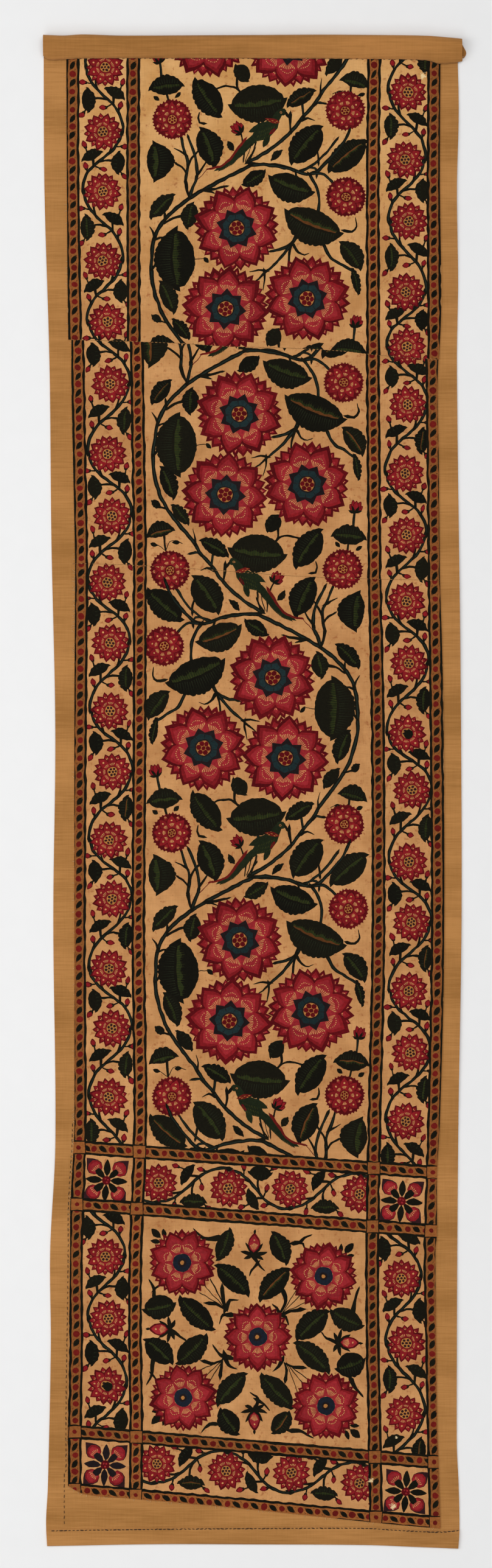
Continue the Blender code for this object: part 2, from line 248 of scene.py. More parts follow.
# Its stems. Columns: width at the first place, width at the last, the places it runs through.
UNIT_STEMS = (
    (3.6, 3.4, ((-9, 155), (-28, 145), (-48, 134), (-73, 118), (-92, 100), (-101, 86), (-106, 74),
        (-108, 61), (-110, 42), (-110, 27), (-107, 9), (-104, 0), (-101, -9), (-93, -23),
        (-83, -37), (-74, -48), (-66, -58), (-58, -71), (-46, -85), (-35, -100), (-23, -112),
        (-5, -126), (12, -136))),
    (3.4, 3.2, ((-9, 155), (5, 156), (19, 154), (35, 151), (49, 146), (57, 145))),
    (3.4, 2.6, ((57, 145), (65, 148), (73, 156), (79, 163), (87, 173), (93, 182), (98, 194))),
    (3, 2.4, ((57, 145), (70, 146), (80, 140), (89, 131))),
    (3.2, 2.6, ((57, 145), (64, 136), (70, 125), (73, 114), (74, 98))),
    (2, 2.2, ((41, 149), (44, 141))), (3.8, 2.4, ((52, 76), (48, 68), (37, 62), (24, 59))),
    (3.2, 2.2, ((48, 68), (37, 54), (27, 44), (16, 35))), (2.6, 0.8, ((18, 37), (10, 38), (0, 36))),
    (2.6, 0.8, ((16, 37), (16, 27), (13, 16))), (2.2, 1.2, ((15, 34), (9, 28), (4, 25))),
    (2.8, 1.8, ((48, 68), (45, 57), (44, 46))),
    (3.2, 0.8, ((50, 66), (55, 58), (62, 55), (67, 57))),
    (3.2, 2.4, ((83, 67), (91, 52), (102, 45), (116, 36))),
    (2.8, 2, ((-76, 99), (-87, 96), (-96, 90))), (2.4, 2, ((-95, 50), (-103, 46), (-110, 38))),
    (1, 2.6, ((-112, 86), (-108, 81), (-106, 75))),
    (1, 2.4, ((-94, 75), (-100, 74), (-105, 72))),
    (3.6, 2, ((-80, 137), (-77, 127), (-73, 119))),
    (1.8, 3.2, ((-33, 132), (-45, 129), (-57, 127))),
    (1.2, 3, ((-46, 124), (-52, 126), (-57, 127))), (2.4, 2.4, ((-97, 100), (-96, 92))),
    (2.4, 3.2, ((-82, 187), (-74, 169), (-70, 156), (-68, 142), (-71, 131), (-73, 119))),
    (1.2, 2.6, ((-58, 161), (-64, 151), (-69, 142))), (1.8, 1.8, ((-103, -19), (-95, -21))),
    (2.4, 1.8, ((-99, -47), (-97, -68))), (2.4, 2.2, ((-44, -67), (-46, -87))),
    (0.7, 2.4, ((-66, -44), (-64, -52), (-64, -62))),
    (2.4, 2.2, ((-70, -71), (-61, -70), (-57, -74))),
    (0.8, 3, ((-58, -90), (-51, -87), (-44, -90))),
    (3.2, 1.8, ((-31, -83), (-31, -92), (-33, -103))),
    (2.4, 1.8, ((29, -43), (29, -53), (24, -60))),
    (2.2, 1.8, ((22, -61), (33, -52), (45, -52), (54, -55))), (2.4, 2.2, ((4, -84), (4, -102))),
    (1.6, 1.6, ((20, -116), (23, -105), (28, -98))),
    (1.6, 1.2, ((6, -121), (10, -129), (15, -136))),
    (1.6, 1.2, ((17, -122), (18, -129), (18, -136))), (2, 2, ((108, -57), (106, -68))),
    (2.2, 2.2, ((113, -42), (115, -23))), (1, 2.6, ((71, -81), (72, -87), (70, -92), (65, -93))),
    (2.4, 3, ((90, -108), (85, -124), (80, -136), (80, -159))),
    (1.8, 2.2, ((70, -124), (77, -134), (80, -143))),
    (0.8, 2.6, ((96, -121), (90, -124), (83, -128))),
    (1.8, 2, ((94, -137), (86, -142), (80, -149))),
    (0.8, 3, ((117, 96), (119, 87), (114, 81), (106, 82))), (0.8, 0.6, ((-62, 50), (-51, 51))),
    (0.7, 0.7, ((-107, -61), (-102, -64), (-97, -68))),
    (0.7, 0.7, ((-78, -60), (-86, -57), (-92, -58), (-97, -68))),
    (2.2, 1.8, ((-66, -138), (-65, -129), (-62, -119))),
    (2.2, 2.2, ((-66, -152), (-65, -145), (-58, -142), (-46, -146))),
    (2.4, 2.4, ((12, -137), (-5, -139), (-21, -139), (-35, -143), (-46, -147), (-56, -142),
        (-65, -135), (-75, -124), (-85, -110))),
)
# Rosettes and seeds of the unit. Columns: x, y, turn in radians.
UNIT_LARGE = ((-14.7, 84.8, 0.10), (-29.4, -5.4, 0.30), (62.1, 6.2, -0.12))
UNIT_MEDIUM = ((-92.3, -89.8, 0.1), (100.5, -88.6, 0.4), (102, 119.8, 0.2))
# How much higher the first medium rosette sits where the unit is mirrored
MEDIUM_RISE = 11
UNIT_SEEDS = (
    (-48.4, 49.2, -0.8), (-109.9, -61, -0.35), (-85.6, -58.6, 0.05), (95, -61.4, -0.8),
    (118.9, -65.2, 0.6),
)
# Open buds of the unit. Columns: x, y of the bud's foot, heading in degrees.
UNIT_BUDS = ((24, -102, 48), (115.6, -24, 80))

# The knot of leaves where a strip's vine passes between two rosettes, its middle at 0, 0 and the
# vine running down from the left. Leaf and stem columns as above.
KNOT_REACH = 36.1
KNOT_VINE = (
    (-20.5, 36.1), (-19.4, 27.8), (-12.9, 16.3), (-3, 6.4), (8.6, -3.5), (16.8, -13.3),
    (22, -26.5), (22.6, -36.1),
)
KNOT_LEAVES = ((-18.6, 11.6, -17, -14.2, 8, 6.5), (1.2, 12.4, 22.6, 1.6, 7, 4))
KNOT_STEMS = (
    (2.2, 1.8, ((-11.6, 0.7), (-3, 1.4), (4, -0.4))),
    (2.6, 2.2, ((11, 5), (10.6, -4))),
    (1.8, 2.2, ((-10.6, 25.6), (-9.6, 17), (-7.6, 11))),
    (1.6, 1.2, ((-16, 17.6), (-21, 18))),
    (1.6, 1.2, ((7.6, -6), (2, -8.6))),
    (1.6, 1.2, ((17.2, -13.6), (18.2, -8.6))),
    (1.8, 1.2, ((-18.6, -10), (-21.6, -15.6))),
    (1.8, 1.2, ((17, 9), (19.6, 17))),
)
# Columns: x, y of the bud's foot, heading in degrees.
KNOT_BUDS = (
    (-20, 18, 178), (3.6, -8.4, 188), (18, -10, 78), (-21.4, -14.4, 235),
    (19.2, 16.2, 72),
)

# The end panel. Leaf, stem and bud columns as above.
PANEL_ROSETTES = ((-81.7, -525.7), (76.4, -540.8), (2.6, -608.6), (-80.6, -676.3), (78.9, -685.4))
PANEL_LEAVES = (
    (-28, -489, -41, -522, 9, 8), (20, -492, 35, -526, 11, 9), (-42, -529, -8, -560, 12, 10),
    (37, -533, 6, -566, 10, 12), (-84, -566, -48, -600, 11, 11), (-124, -579, -90, -572, 12, 12),
    (80, -580, 47, -610, 11, 13), (85, -580, 119, -597, 10, 12), (-122, -612, -93, -637, 12, 11),
    (-86, -638, -55, -608, 11, 12), (-12, -650, -42, -683, 10, 12), (7, -652, 41, -687, 11, 11),
    (46, -615, 82, -647, 12, 10), (91, -645, 122, -634, 12, 13), (-39, -690, -20, -717, 10, 11),
    (38, -693, 20, -716, 10, 9),
)
PANEL_STEMS = (
    (4, 1, ((-41, -498), (-52, -499), (-60, -497), (-68, -489))),
    (3, 1, ((43, -504), (50, -503), (55, -498), (62, -495))),
    (2.6, 1, ((48, -503), (53, -505), (55, -510))),
    (3.4, 1.4, ((-37, -554), (-36, -566), (-32, -578))),
    (3.4, 1.4, ((31, -557), (34, -568), (28, -582))),
    (2.8, 1.2, ((-52, -571), (-43, -572), (-33, -578))),
    (3, 1.2, ((51, -578), (40, -580), (27, -585))),
    (3, 1, ((-113, -563), (-113, -555), (-118, -545))),
    (2, 1, ((-113, -556), (-104, -548))), (3, 1, ((109, -580), (112, -566), (116, -554))),
    (3, 1, ((-114, -634), (-116, -650), (-121, -661))),
    (2, 0.8, ((-116, -650), (-108, -658))), (2.8, 1, ((-57, -636), (-46, -638), (-36, -634))),
    (2.8, 1, ((-39, -652), (-38, -642), (-36, -633))),
    (2.8, 1, ((34, -656), (35, -646), (33, -638))),
    (2.8, 1, ((53, -643), (42, -642), (33, -638))),
    (4, 1.2, ((107, -657), (111, -664), (120, -675))),
    (3, 1, ((-44, -706), (-51, -706), (-59, -714))),
    (3.4, 1, ((41, -713), (52, -714), (64, -721))),
    (2.6, 0.8, ((-2, -519), (3, -526), (10, -534))),
    (2.6, 0.8, ((2, -527), (-4, -534), (-6, -540))),
    (2.6, 1, ((-94, -601), (-84, -608), (-78, -612))),
    (3, 1, ((92, -615), (80, -610), (74, -604))),
    (3, 0.8, ((-1, -690), (3, -678), (-5, -671))),
    (2.6, 0.8, ((2, -679), (10, -684), (16, -690))),
    (1, 3.6, ((-47, -618), (-40, -628), (-28, -632))),
    (3.6, 0.8, ((-34, -629), (-30, -640), (-21, -644))),
    (3.4, 1, ((-33, -577), (-28, -568), (-20, -567))),
    (3.4, 1, ((-27, -584), (-36, -584), (-40, -593))),
    (3, 1, ((27, -583), (24, -576), (20, -572))),
    (3.4, 1, ((27, -584), (34, -586), (37, -594))),
    (3.4, 1, ((30, -634), (26, -642), (21, -646))), (0.8, 0.8, ((-33, -577), (-50, -544))),
)
# Fine stalks that spread from one place. Columns: x, y of the place, then x, y of each end.
PANEL_FANS = (
    (-33, -577, -50, -544, -56, -552, -62, -559), (30, -582, 46, -556, 51, -562, 61, -568),
    (-36, -634, -69, -649, -59, -656, -52, -660), (35, -638, 47, -670, 55, -662, 59, -656),
)
# Columns: x, y of the bud's foot, heading in degrees.
PANEL_BUDS = (
    (-1.6, -517, 88), (-94.6, -600.4, 178), (92.6, -614.7, -2), (-1, -689.6, -90),
)
PANEL_SPRIGS = (
    (-100.6, -504.4, 132), (94.6, -521, 48), (-98.8, -690.8, 220), (99.6, -707, -38),
)

# Rosettes, ring by ring from the rim to the heart, as shares of the radius.
# Columns: what is laid, dye, how many, turn as a share of a step, foot, tip, half width or
# spread, number in each group.
RIM_RINGS = (
    ("petals", "crimson", 16, 0.5, 0.60, 0.985, 0.095, 1),
    ("petals", "rose", 16, 0.5, 0.62, 0.91, 0.060, 1),
    ("fans", "cream", 16, 0.5, 0.79, 0.865, 0.026, 3),
    ("petals", "crimson", 8, 0, 0.40, 0.985, 0.175, 1),
    ("petals", "madder", 8, 0, 0.42, 0.90, 0.140, 1),
    ("petals", "rose", 8, 0, 0.42, 0.82, 0.110, 1),
    ("fans", "cream", 8, 0, 0.61, 0.745, 0.055, 4),
    ("petals", "crimson", 8, 0.5, 0.26, 1.005, 0.272, 1),
    ("petals", "madder", 8, 0.5, 0.26, 0.90, 0.242, 1),
    ("petals", "rose", 8, 0.5, 0.26, 0.80, 0.215, 1),
)
LARGE_RINGS = RIM_RINGS + (
    ("fans", "cream", 8, 0.5, 0.405, 0.555, 0.175, 9),
    ("dots", "cream", 8, 0.5, 0.650, 0.115, 0.165, 9),
    ("star", "star", 1, 0, 0.350, 0.475, 0, 8),
    ("star", "teal", 1, 0, 0.305, 0.335, 0, 8),
    ("fans", "star", 8, 0, 0.18, 0.330, 0, 1),
    ("disc", "star", 1, 0, 0, 0.200, 0, 18),
    ("disc", "ochre", 1, 0, 0, 0.170, 0, 18),
    ("spots", "crimson", 6, 0, 0.112, 0.059, 0, 7),
    ("spots", "crimson", 1, 0, 0, 0.054, 0, 7),
)
PANEL_RINGS = RIM_RINGS + (
    ("fans", "cream", 8, 0.5, 0.30, 0.470, 0.130, 7),
    ("dots", "cream", 8, 0.5, 0.565, 0.105, 0.145, 8),
    ("disc", "ink", 1, 0, 0, 0.270, 0, 22),
    ("disc", "star", 1, 0, 0, 0.120, 0, 12),
    ("disc", "ochre", 1, 0, 0, 0.060, 0, 8),
)
MEDIUM_RINGS = (
    ("petals", "crimson", 36, 0.5, 0.70, 1.00, 0.085, 1),
    ("disc", "crimson", 1, 0, 0, 0.93, 0, 36),
    ("petals", "madder", 8, 0, 0.40, 0.90, 0.130, 1),
    ("fans", "cream", 8, 0, 0.73, 0.840, 0.050, 3),
    ("petals", "crimson", 8, 0.5, 0.22, 0.92, 0.230, 1),
    ("petals", "madder", 8, 0.5, 0.24, 0.85, 0.200, 1),
    ("spots", "cream", 8, 0.5, 0.60, 0.045, 0, 6),
    ("fans", "cream", 8, 0.5, 0.30, 0.470, 0.085, 4),
    ("disc", "crimson", 1, 0, 0, 0.270, 0, 16),
    ("disc", "ochre", 1, 0, 0, 0.205, 0, 14),
    ("spots", "crimson", 6, 0, 0.130, 0.062, 0, 6),
    ("spots", "crimson", 1, 0, 0, 0.050, 0, 6),
)
STRIP_RINGS = (
    ("petals", "crimson", 8, 0, 0.40, 1.00, 0.175, 1),
    ("petals", "madder", 8, 0, 0.45, 0.91, 0.125, 1),
    ("fans", "cream", 8, 0, 0.64, 0.780, 0.045, 2),
    ("petals", "crimson", 8, 0.5, 0.25, 1.01, 0.245, 1),
    ("petals", "madder", 8, 0.5, 0.25, 0.90, 0.205, 1),
    ("spots", "cream", 8, 0.5, 0.64, 0.052, 0, 6),
    ("fans", "cream", 8, 0.5, 0.33, 0.470, 0.120, 4),
    ("disc", "crimson", 1, 0, 0, 0.305, 0, 14),
    ("disc", "ochre", 1, 0, 0, 0.270, 0, 14),
    ("spots", "shade", 6, 0, 0.170, 0.072, 0, 6),
    ("spots", "shade", 1, 0, 0, 0.070, 0, 6),
)
# Half width of a petal along its length. Columns: share of the length, share of the half width.
PETAL_FORM = (
    (0, 0.50), (0.25, 0.88), (0.45, 1), (0.62, 0.90), (0.78, 0.60), (0.90, 0.26), (1, 0),
)

# How far the branch sways to the right as it runs down the field. Columns: y, sway.
FIELD_LEAN = (
    (850, 9), (760, 9), (690, 4), (620, -6), (540, -3), (425, -2.5), (335, -3.5), (240, -2),
    (200, -4), (130, 5), (45, 5), (-45, 8), (-110, 6), (-165, -2), (-250, 1), (-340, 0), (-450, 0),
)
# Hearts of strip rosettes where the dark dye has run. Columns: x, y.
SMUDGED = ((-166.3, -663.1), (169.6, 65.2))

# Depths of dye that a shape is laid in, as shares of how much its dye varies
DEPTH_STEPS = (-0.8, 0.0, 0.8)
# Leaves shorter than this, in millimetres, have plain teeth and no light band
SHORT_LEAF = 27
# Width of a petal's fine lines and radius of its dots
FINE_LINE = 0.9
FINE_DOT = 0.60
# Sizes of the three kinds of bud, as shares of the sizes that they are drawn in
KNOT_BUD_SIZE = 0.95
OPEN_BUD_SIZE = 0.9
SEPAL_BUD_SIZE = 1.12
# Turn of the corner squares' flowers, in radians
CORNER_TURN = 0.075
# Steps of a brush line that make one shape, few enough to be quick to fill
LINE_RUN = 8
# Distance between the places that a thread runs through
THREAD_STEP = 2.0
# How much wider the dye spread than the places in the tables
STEM_WEIGHT = 1.24
TWIG_WEIGHT = 1.35
LEAF_WEIGHT = 1.16
# How far an edge of the print may stray, in millimetres, where a place on it is left out
PRINT_SLACK = 0.10

# Dyes, with how much each varies from one shape to the next
DYE_DEPTHS = {
    "crimson": 0.22, "madder": 0.14, "rose": 0.12, "cream": 0.10, "leaf": 0.25, "rib": 0.18,
    "olive": 0.22, "stem": 0.20, "teal": 0.15, "star": 0.15, "ink": 0.10, "ochre": 0.10,
    "guard": 0.12, "dot": 0.18, "curl": 0.15, "bird": 0.15, "shade": 0.15, "moss": 0.20,
}

# Places where the print has rubbed away to bare thread. Columns: x, y, size.
WORN_PLACES = ((187.3, 800.3, 4.4), (129, -769, 3.6), (154, -798, 4.0), (158, -721.5, 2.0))

# The three lengths of printed cloth. Columns: seed of the length's chances, its guard bands, the
# upper and the lower end of its drawing, its flat size in metres.
LENGTHS = {
    "printed_top": (11, TOP_GUARDS, 836.0, 470.0, (0.419, 0.341)),
    "printed_middle": (23, MIDDLE_GUARDS, 516.0, 224.0, (0.412, 0.269)),
    "printed_lower": (37, LOWER_GUARDS, 268.0, -828.0, (0.421, 1.079)),
}

# The photograph's frame: its middle and its length on the floor, in metres
PHOTO_MIDDLE = (-0.0103, 0.0088)
PHOTO_LENGTH = 1.7517
# The camera's height over the floor in metres, and the width of its sensor in millimetres
CAMERA_HEIGHT = 5.0
SENSOR_WIDTH = 36.0
# Half of the floor's width, in metres
FLOOR_HALF = 5.0
# Strength of the room's even light
AMBIENT = 0.33
# The suns. Columns: name, strength, width in degrees, tilt toward the picture's foot in degrees.
SUNS = (("Key", 1.16, 50, -18), ("Low", 0.30, 14, 54))
# Power in watts of the broad lamp at the left
FILL_POWER = 36.0


def linear(colour):
    """An sRGB hex colour as linear red, green, blue and alpha."""
    channels = [int(colour[k : k + 2], 16) / 255 for k in (0, 2, 4)]
    return (*[c / 12.92 if c <= 0.04045 else ((c + 0.055) / 1.055) ** 2.4 for c in channels], 1.0)


def smooth_through(table, at):
    """A smooth curve through a two-column table, read at places in its first column."""
    rows = np.array(sorted(table))
    at = np.clip(np.asarray(at, dtype=float), rows[0, 0], rows[-1, 0])
    slopes = np.empty(len(rows))
    slopes[1:-1] = (rows[2:, 1] - rows[:-2, 1]) / (rows[2:, 0] - rows[:-2, 0])
    slopes[0] = (rows[1, 1] - rows[0, 1]) / (rows[1, 0] - rows[0, 0])
    slopes[-1] = (rows[-1, 1] - rows[-2, 1]) / (rows[-1, 0] - rows[-2, 0])
    i = np.clip(np.searchsorted(rows[:, 0], at, side="right") - 1, 0, len(rows) - 2)
    span = rows[i + 1, 0] - rows[i, 0]
    t = (at - rows[i, 0]) / span
    start = (1 + 2 * t) * (1 - t) ** 2 * rows[i, 1] + t * t * (3 - 2 * t) * rows[i + 1, 1]
    return start + span * (t * (1 - t) ** 2 * slopes[i] - t * t * (1 - t) * slopes[i + 1])


def lift(x, y):
    """How far the cloth rises off the surface at places on it."""
    height = np.zeros(np.shape(x))
    for cx, cy, heading, half_length, half_width, peak in RISES:
        c, s = math.cos(math.radians(heading)), math.sin(math.radians(heading))
        along = ((x - cx) * c + (y - cy) * s) / half_length
        across = ((y - cy) * c - (x - cx) * s) / half_width
        height = height + peak * np.exp(-(along * along + across * across) * 1.5)
    return np.maximum(height - RISE_CUTOFF, 0.0)


def seam_line(x):
    """The line where the sleeve is sewn down."""
    return SEAM_HEIGHT - SEAM_FALL * np.asarray(x, dtype=float)


def below_sleeve(x):
    """The line where the flat cloths begin, a gap below the sleeve's seam."""
    return seam_line(x) - PIECE_GAP


def line_of(table, rise=0.0):
    """The smooth line through a table as a function, with a little added to what it gives."""

    def read(at):
        """Places of the line."""
        return smooth_through(table, at) + rise

    return read


def ripple(x, y, wavelength, seed):
    """A soft unevenness between -1 and 1, with no direction of its own."""
    chance = random.Random(seed)
    total = np.zeros(np.shape(x))
    for _ in range(5):
        heading = chance.uniform(0, math.tau)
        turn = math.tau / (wavelength * chance.uniform(0.7, 1.5))
        phase = chance.uniform(0, math.tau)
        total = total + np.sin((x * math.cos(heading) + y * math.sin(heading)) * turn + phase)
    return total / 5


def crease_height(x, y):
    """How far the pressed creases stand above the print."""
    height = np.zeros(np.shape(x))
    for x0, y0, x1, y1, half_width, peak in CREASES:
        length = math.hypot(x1 - x0, y1 - y0)
        c, s = (x1 - x0) / length, (y1 - y0) / length
        along = ((x - x0) * c + (y - y0) * s) / length
        bend = 0.3 * half_width * np.sin(along * 7.0 + x0)
        across = ((y - y0) * c - (x - x0) * s + bend) / half_width
        ends = np.clip(np.minimum(along, 1 - along) * 6 + 0.5, 0, 1)
        height = height + peak * np.exp(-across * across) * ends
    return height


def smooth_path(points, step):
    """Places every step or so along a smooth curve through a few points."""
    points = np.asarray(points, dtype=complex)
    line = np.concatenate(([2 * points[0] - points[1]], points, [2 * points[-1] - points[-2]]))
    path = [points[:1]]
    for k in range(1, len(points)):
        a, b = line[k], line[k + 1]
        lead, trail = (b - line[k - 1]) / 2, (line[k + 2] - a) / 2
        count = max(int(abs(b - a) / step), 1)
        t = np.arange(1, count + 1) / count
        run = (1 + 2 * t) * (1 - t) ** 2 * a + t * t * (3 - 2 * t) * b
        path.append(run + t * (1 - t) ** 2 * lead - t * t * (1 - t) * trail)
    return np.concatenate(path)


def petal(heading, foot, tip, half):
    """Outline of a pointed petal that runs out from a rosette's middle."""
    shares, widths = np.array(PETAL_FORM).T
    along = foot + (tip - foot) * shares
    side = 1j * half * widths
    return np.concatenate((along - side, (along + side)[-2::-1])) * np.exp(1j * heading)


def disc(centre, radius, sides, turn=0.0):
    """Outline of a round spot."""
    return centre + radius * np.exp(1j * (turn + math.tau * np.arange(sides) / sides))


def lens(first, last, half):
    """Outline of a narrow pointed leaf or seed between two points."""
    shares = np.array((0.0, 0.2, 0.45, 0.7, 0.9, 1.0))
    widths = np.array((0.0, 0.7, 1.0, 0.8, 0.35, 0.0)) * half
    along = first + (last - first) * shares
    side = 1j * (last - first) / abs(last - first) * widths
    return np.concatenate((along - side, (along + side)[-2:0:-1]))


def sliver(first, last, width):
    """Outline of a short brush line that runs out to a point."""
    side = 0.5j * width * (last - first) / abs(last - first)
    return np.array((first - side, last, first + side))


class Drawing:
    """Shapes in the order that they are painted: dye, depth of colour, outline."""

    def __init__(self, seed):
        self.chance = random.Random(seed)
        self.shapes = []

    def lay(self, dye, outline, depth=None):
        """Lays one shape over those before it."""
        if depth is None:
            depth = self.chance.choice(DEPTH_STEPS)
        self.shapes.append((dye, depth, np.asarray(outline, dtype=complex)))

    def confine(self, first, sides, lines):
        """Folds back what the shapes from one on spread over the edge of their field.

        The sides are two guard bands that run down the cloth, and the lines two that cross it:
        the bands are laid later, over the folded edges.
        """
        left, right = [(path.imag[::-1], path.real[::-1]) for path in sides]
        (upper, upper_fall), (lower, lower_fall) = lines
        kept = self.shapes[:first]
        for dye, depth, outline in self.shapes[first:]:
            x, y = outline.real, outline.imag
            y = np.clip(y, lower - lower_fall * x, upper - upper_fall * x)
            x = np.clip(x, np.interp(y, *left), np.interp(y, *right))
            outline = x + 1j * y
            if abs((outline.conjugate() * np.roll(outline, -1)).imag.sum()) > 0.1:
                kept.append((dye, depth, outline))
        self.shapes = kept

    def line(self, dye, path, widths):
        """Lays a brush line with pointed ends, as a row of short shapes."""
        travel = np.gradient(path)
        side = 0.5j * np.broadcast_to(widths, path.shape) * travel / np.abs(travel)
        path = np.concatenate((path[:1] + 2.6j * side[:1], path, path[-1:] - 2.6j * side[-1:]))
        side = np.concatenate(((0.0,), side, (0.0,)))
        depth = self.chance.choice(DEPTH_STEPS)
        for k in range(0, len(path) - 1, LINE_RUN):
            here, edge = path[k : k + LINE_RUN + 1], side[k : k + LINE_RUN + 1]
            self.lay(dye, np.concatenate((here + edge, (here - edge)[::-1])), depth)

    def stem(self, points, first_width, last_width):
        """Lays a stem: a dark line with a thin greener light along its middle."""
        path = smooth_path(points, 3.0)
        widths = STEM_WEIGHT * np.linspace(first_width, last_width, len(path))
        widths = widths * (1 + 0.14 * ripple(path.real, path.imag, 9.0, 5))
        self.line("leaf", path, widths)
        if min(first_width, last_width) > 2.1 and len(path) > 4:
            self.line("stem", path[1:-1] + 0.12 * (1 - 1j), widths[1:-1] * 0.30)

    def leaf(self, first, last, left, right):
        """Lays a leaf between two hooked corners, with a toothed edge on its fuller side."""
        run = last - first
        length, toward = abs(run), run / abs(run)
        # From here on a leaf lies along the real axis, its fuller side below.
        slim, full = sorted((LEAF_WEIGHT * left, LEAF_WEIGHT * right))
        flip = left > right
        t = np.linspace(0.05, 0.95, max(int(length / 1.4), 11))
        swell = np.sin(math.pi * t) ** 0.55
        lobes = max(round(length / 6.0), 3)
        scallop = 1.5 * (1 - np.abs(np.sin(math.pi * lobes * t))) ** 1.6
        if length < SHORT_LEAF:
            scallop = 2.0 * np.abs(((lobes + 1) * t + 0.5) % 1 - 0.5)
        lower = length * t - 1j * (full * swell - scallop)
        upper = length * t + 1j * (slim * swell - 0.35 * scallop)
        hook = min(0.10 * length, 4.6)
        start = np.array((0.025 * length + 0.55j * hook, -0.75 * hook + 0.6j * hook,
                          -0.25 * hook - 0.5j * hook))
        end = length - start.conjugate()

        def lay(dye, outline):
            """Lays a shape of the leaf where the leaf lies on the cloth."""
            outline = np.asarray(outline)
            self.lay(dye, first + toward * (outline.conjugate() if flip else outline))

        lay("leaf", np.concatenate((start, lower, end[::-1], upper[::-1])))
        inner = slice(2, -2)
        rib = length * t - 0.16j * full * np.sin(math.pi * t)
        rib, along, bulge = rib[inner], t[inner], swell[inner]
        step = 2 if length > SHORT_LEAF else 3
        lean = 0.5 * (along - 0.5)
        for k in range(1, len(rib), step):
            reach = self.chance.uniform(0.62, 0.84) * full * bulge[k]
            lay("rib", sliver(rib[k] - 0.16j * reach, rib[k] + reach * (lean[k] - 0.9j), 0.9))
        if length < SHORT_LEAF:
            return
        width = 0.22 * full * bulge * (1 + 0.25 * np.sin(math.tau * lobes * 0.5 * along))
        lay("moss", np.concatenate((rib, (rib + 1j * width)[::-1])))
        for k in range(0, len(rib), 2):
            reach = width[k] + self.chance.uniform(0.08, 0.2) * full * bulge[k]
            lay("olive", sliver(rib[k], rib[k] + reach * (lean[k] + 1j), 1.1))
        if self.chance.random() < 0.15:
            lay("curl", np.concatenate((rib, (rib + 0.5j * width)[::-1])))

    def rosette(self, rings, centre, radius, turn):
        """Lays a rosette, ring by ring."""
        size = radius * np.exp(1j * turn)
        for what, dye, count, offset, foot, tip, half, number in rings:
            for k in range(count):
                heading = math.tau * (k + offset) / count
                toward = np.exp(1j * heading)
                if what == "petals":
                    wilt = self.chance.uniform(0.97, 1.02)
                    self.lay(dye, centre + size * petal(heading, foot, tip * wilt, half))
                elif what == "disc":
                    self.lay(dye, centre + size * disc(0, tip, number))
                elif what == "star":
                    points = np.exp(1j * math.pi * np.arange(2 * number) / number)
                    self.lay(dye, centre + size * points * np.tile((foot, tip), number))
                elif what == "spots":
                    self.lay(dye, centre + size * disc(foot * toward, tip, number, heading))
                else:
                    for s in np.linspace(-1, 1, number):
                        if what == "fans":
                            start = foot * toward + 0.35j * s * half * toward
                            end = (tip - 0.03 * abs(s)) * toward + 1j * s * half * toward
                            self.lay(dye, centre + size * sliver(end, start, FINE_LINE / radius))
                        else:
                            spot = (foot - tip * s * s) * toward + 1j * s * half * toward
                            self.lay(dye, centre + size * disc(spot, FINE_DOT / radius, 5))

    def seed(self, centre, turn):
        """Lays a small dark seed."""
        reach = 4.4 * np.exp(1j * turn)
        self.lay("leaf", lens(centre - reach, centre + reach, 2.5))

    def bud(self, foot, heading, size):
        """Lays a closed red bud with its dark cup."""
        toward = np.exp(1j * heading)
        self.lay("crimson", lens(foot, foot + 9.6 * size * toward, 3.3 * size))
        self.lay("madder", lens(foot + 1.4 * toward, foot + 8.0 * size * toward, 2.2 * size))
        for s in (-0.7, 0.7):
            tip = foot + 3.4 * size * np.exp(1j * (heading + s))
            self.lay("leaf", lens(foot - toward, tip, 0.9 * size))

    def sepal_bud(self, foot, heading, size):
        """Lays a half-open bud with long pointed sepals spread round it."""
        toward = np.exp(1j * heading)
        for s, reach in ((-2.0, 11), (-1.35, 14), (-0.62, 15), (0.62, 15), (1.35, 14), (2.0, 11)):
            self.lay("leaf", lens(foot, foot + reach * size * np.exp(1j * (heading + s)), 2.1 * size))
        self.lay("leaf", disc(foot + toward, 3.0 * size, 8))
        body = foot + 2.0 * size * toward
        self.lay("crimson", lens(body, body + 20 * size * toward, 6.2 * size))
        self.lay("rose", lens(body + toward, body + 17 * size * toward, 5.0 * size))
        for s in np.linspace(-1, 1, 7):
            start = body + (9.5 - 1.5 * abs(s)) * size * toward + 3.6j * s * size * toward
            self.lay("cream", sliver(start, body + 2.5 * size * toward + 1.2j * s * toward, 0.8))
        self.lay("cream", disc(body + 12.5 * size * toward, 0.9 * size, 6))
        tip = body + 19 * size * toward
        self.lay("leaf", lens(tip - toward, tip + 4.5 * size * toward, 1.4 * size))

    def open_bud(self, foot, heading, size):
        """Lays an opening flower of a few upright petals in a dark cup."""
        toward = np.exp(1j * heading)
        for s, reach in ((-0.8, 11.5), (0.8, 11.5), (-0.38, 14.5), (0.38, 14.5), (0.0, 13.5)):
            tip = foot + reach * size * np.exp(1j * (heading + s))
            self.lay("crimson", lens(foot, tip, 3.7 * size))
            self.lay("madder", lens(foot, foot + (tip - foot) * 0.9, 2.8 * size))
        for s in (-1.25, -0.5, 0.7, 1.5):
            tip = foot + 8.5 * size * np.exp(1j * (heading + s))
            self.lay("leaf", lens(foot - 2.5 * toward, tip, 1.7 * size))

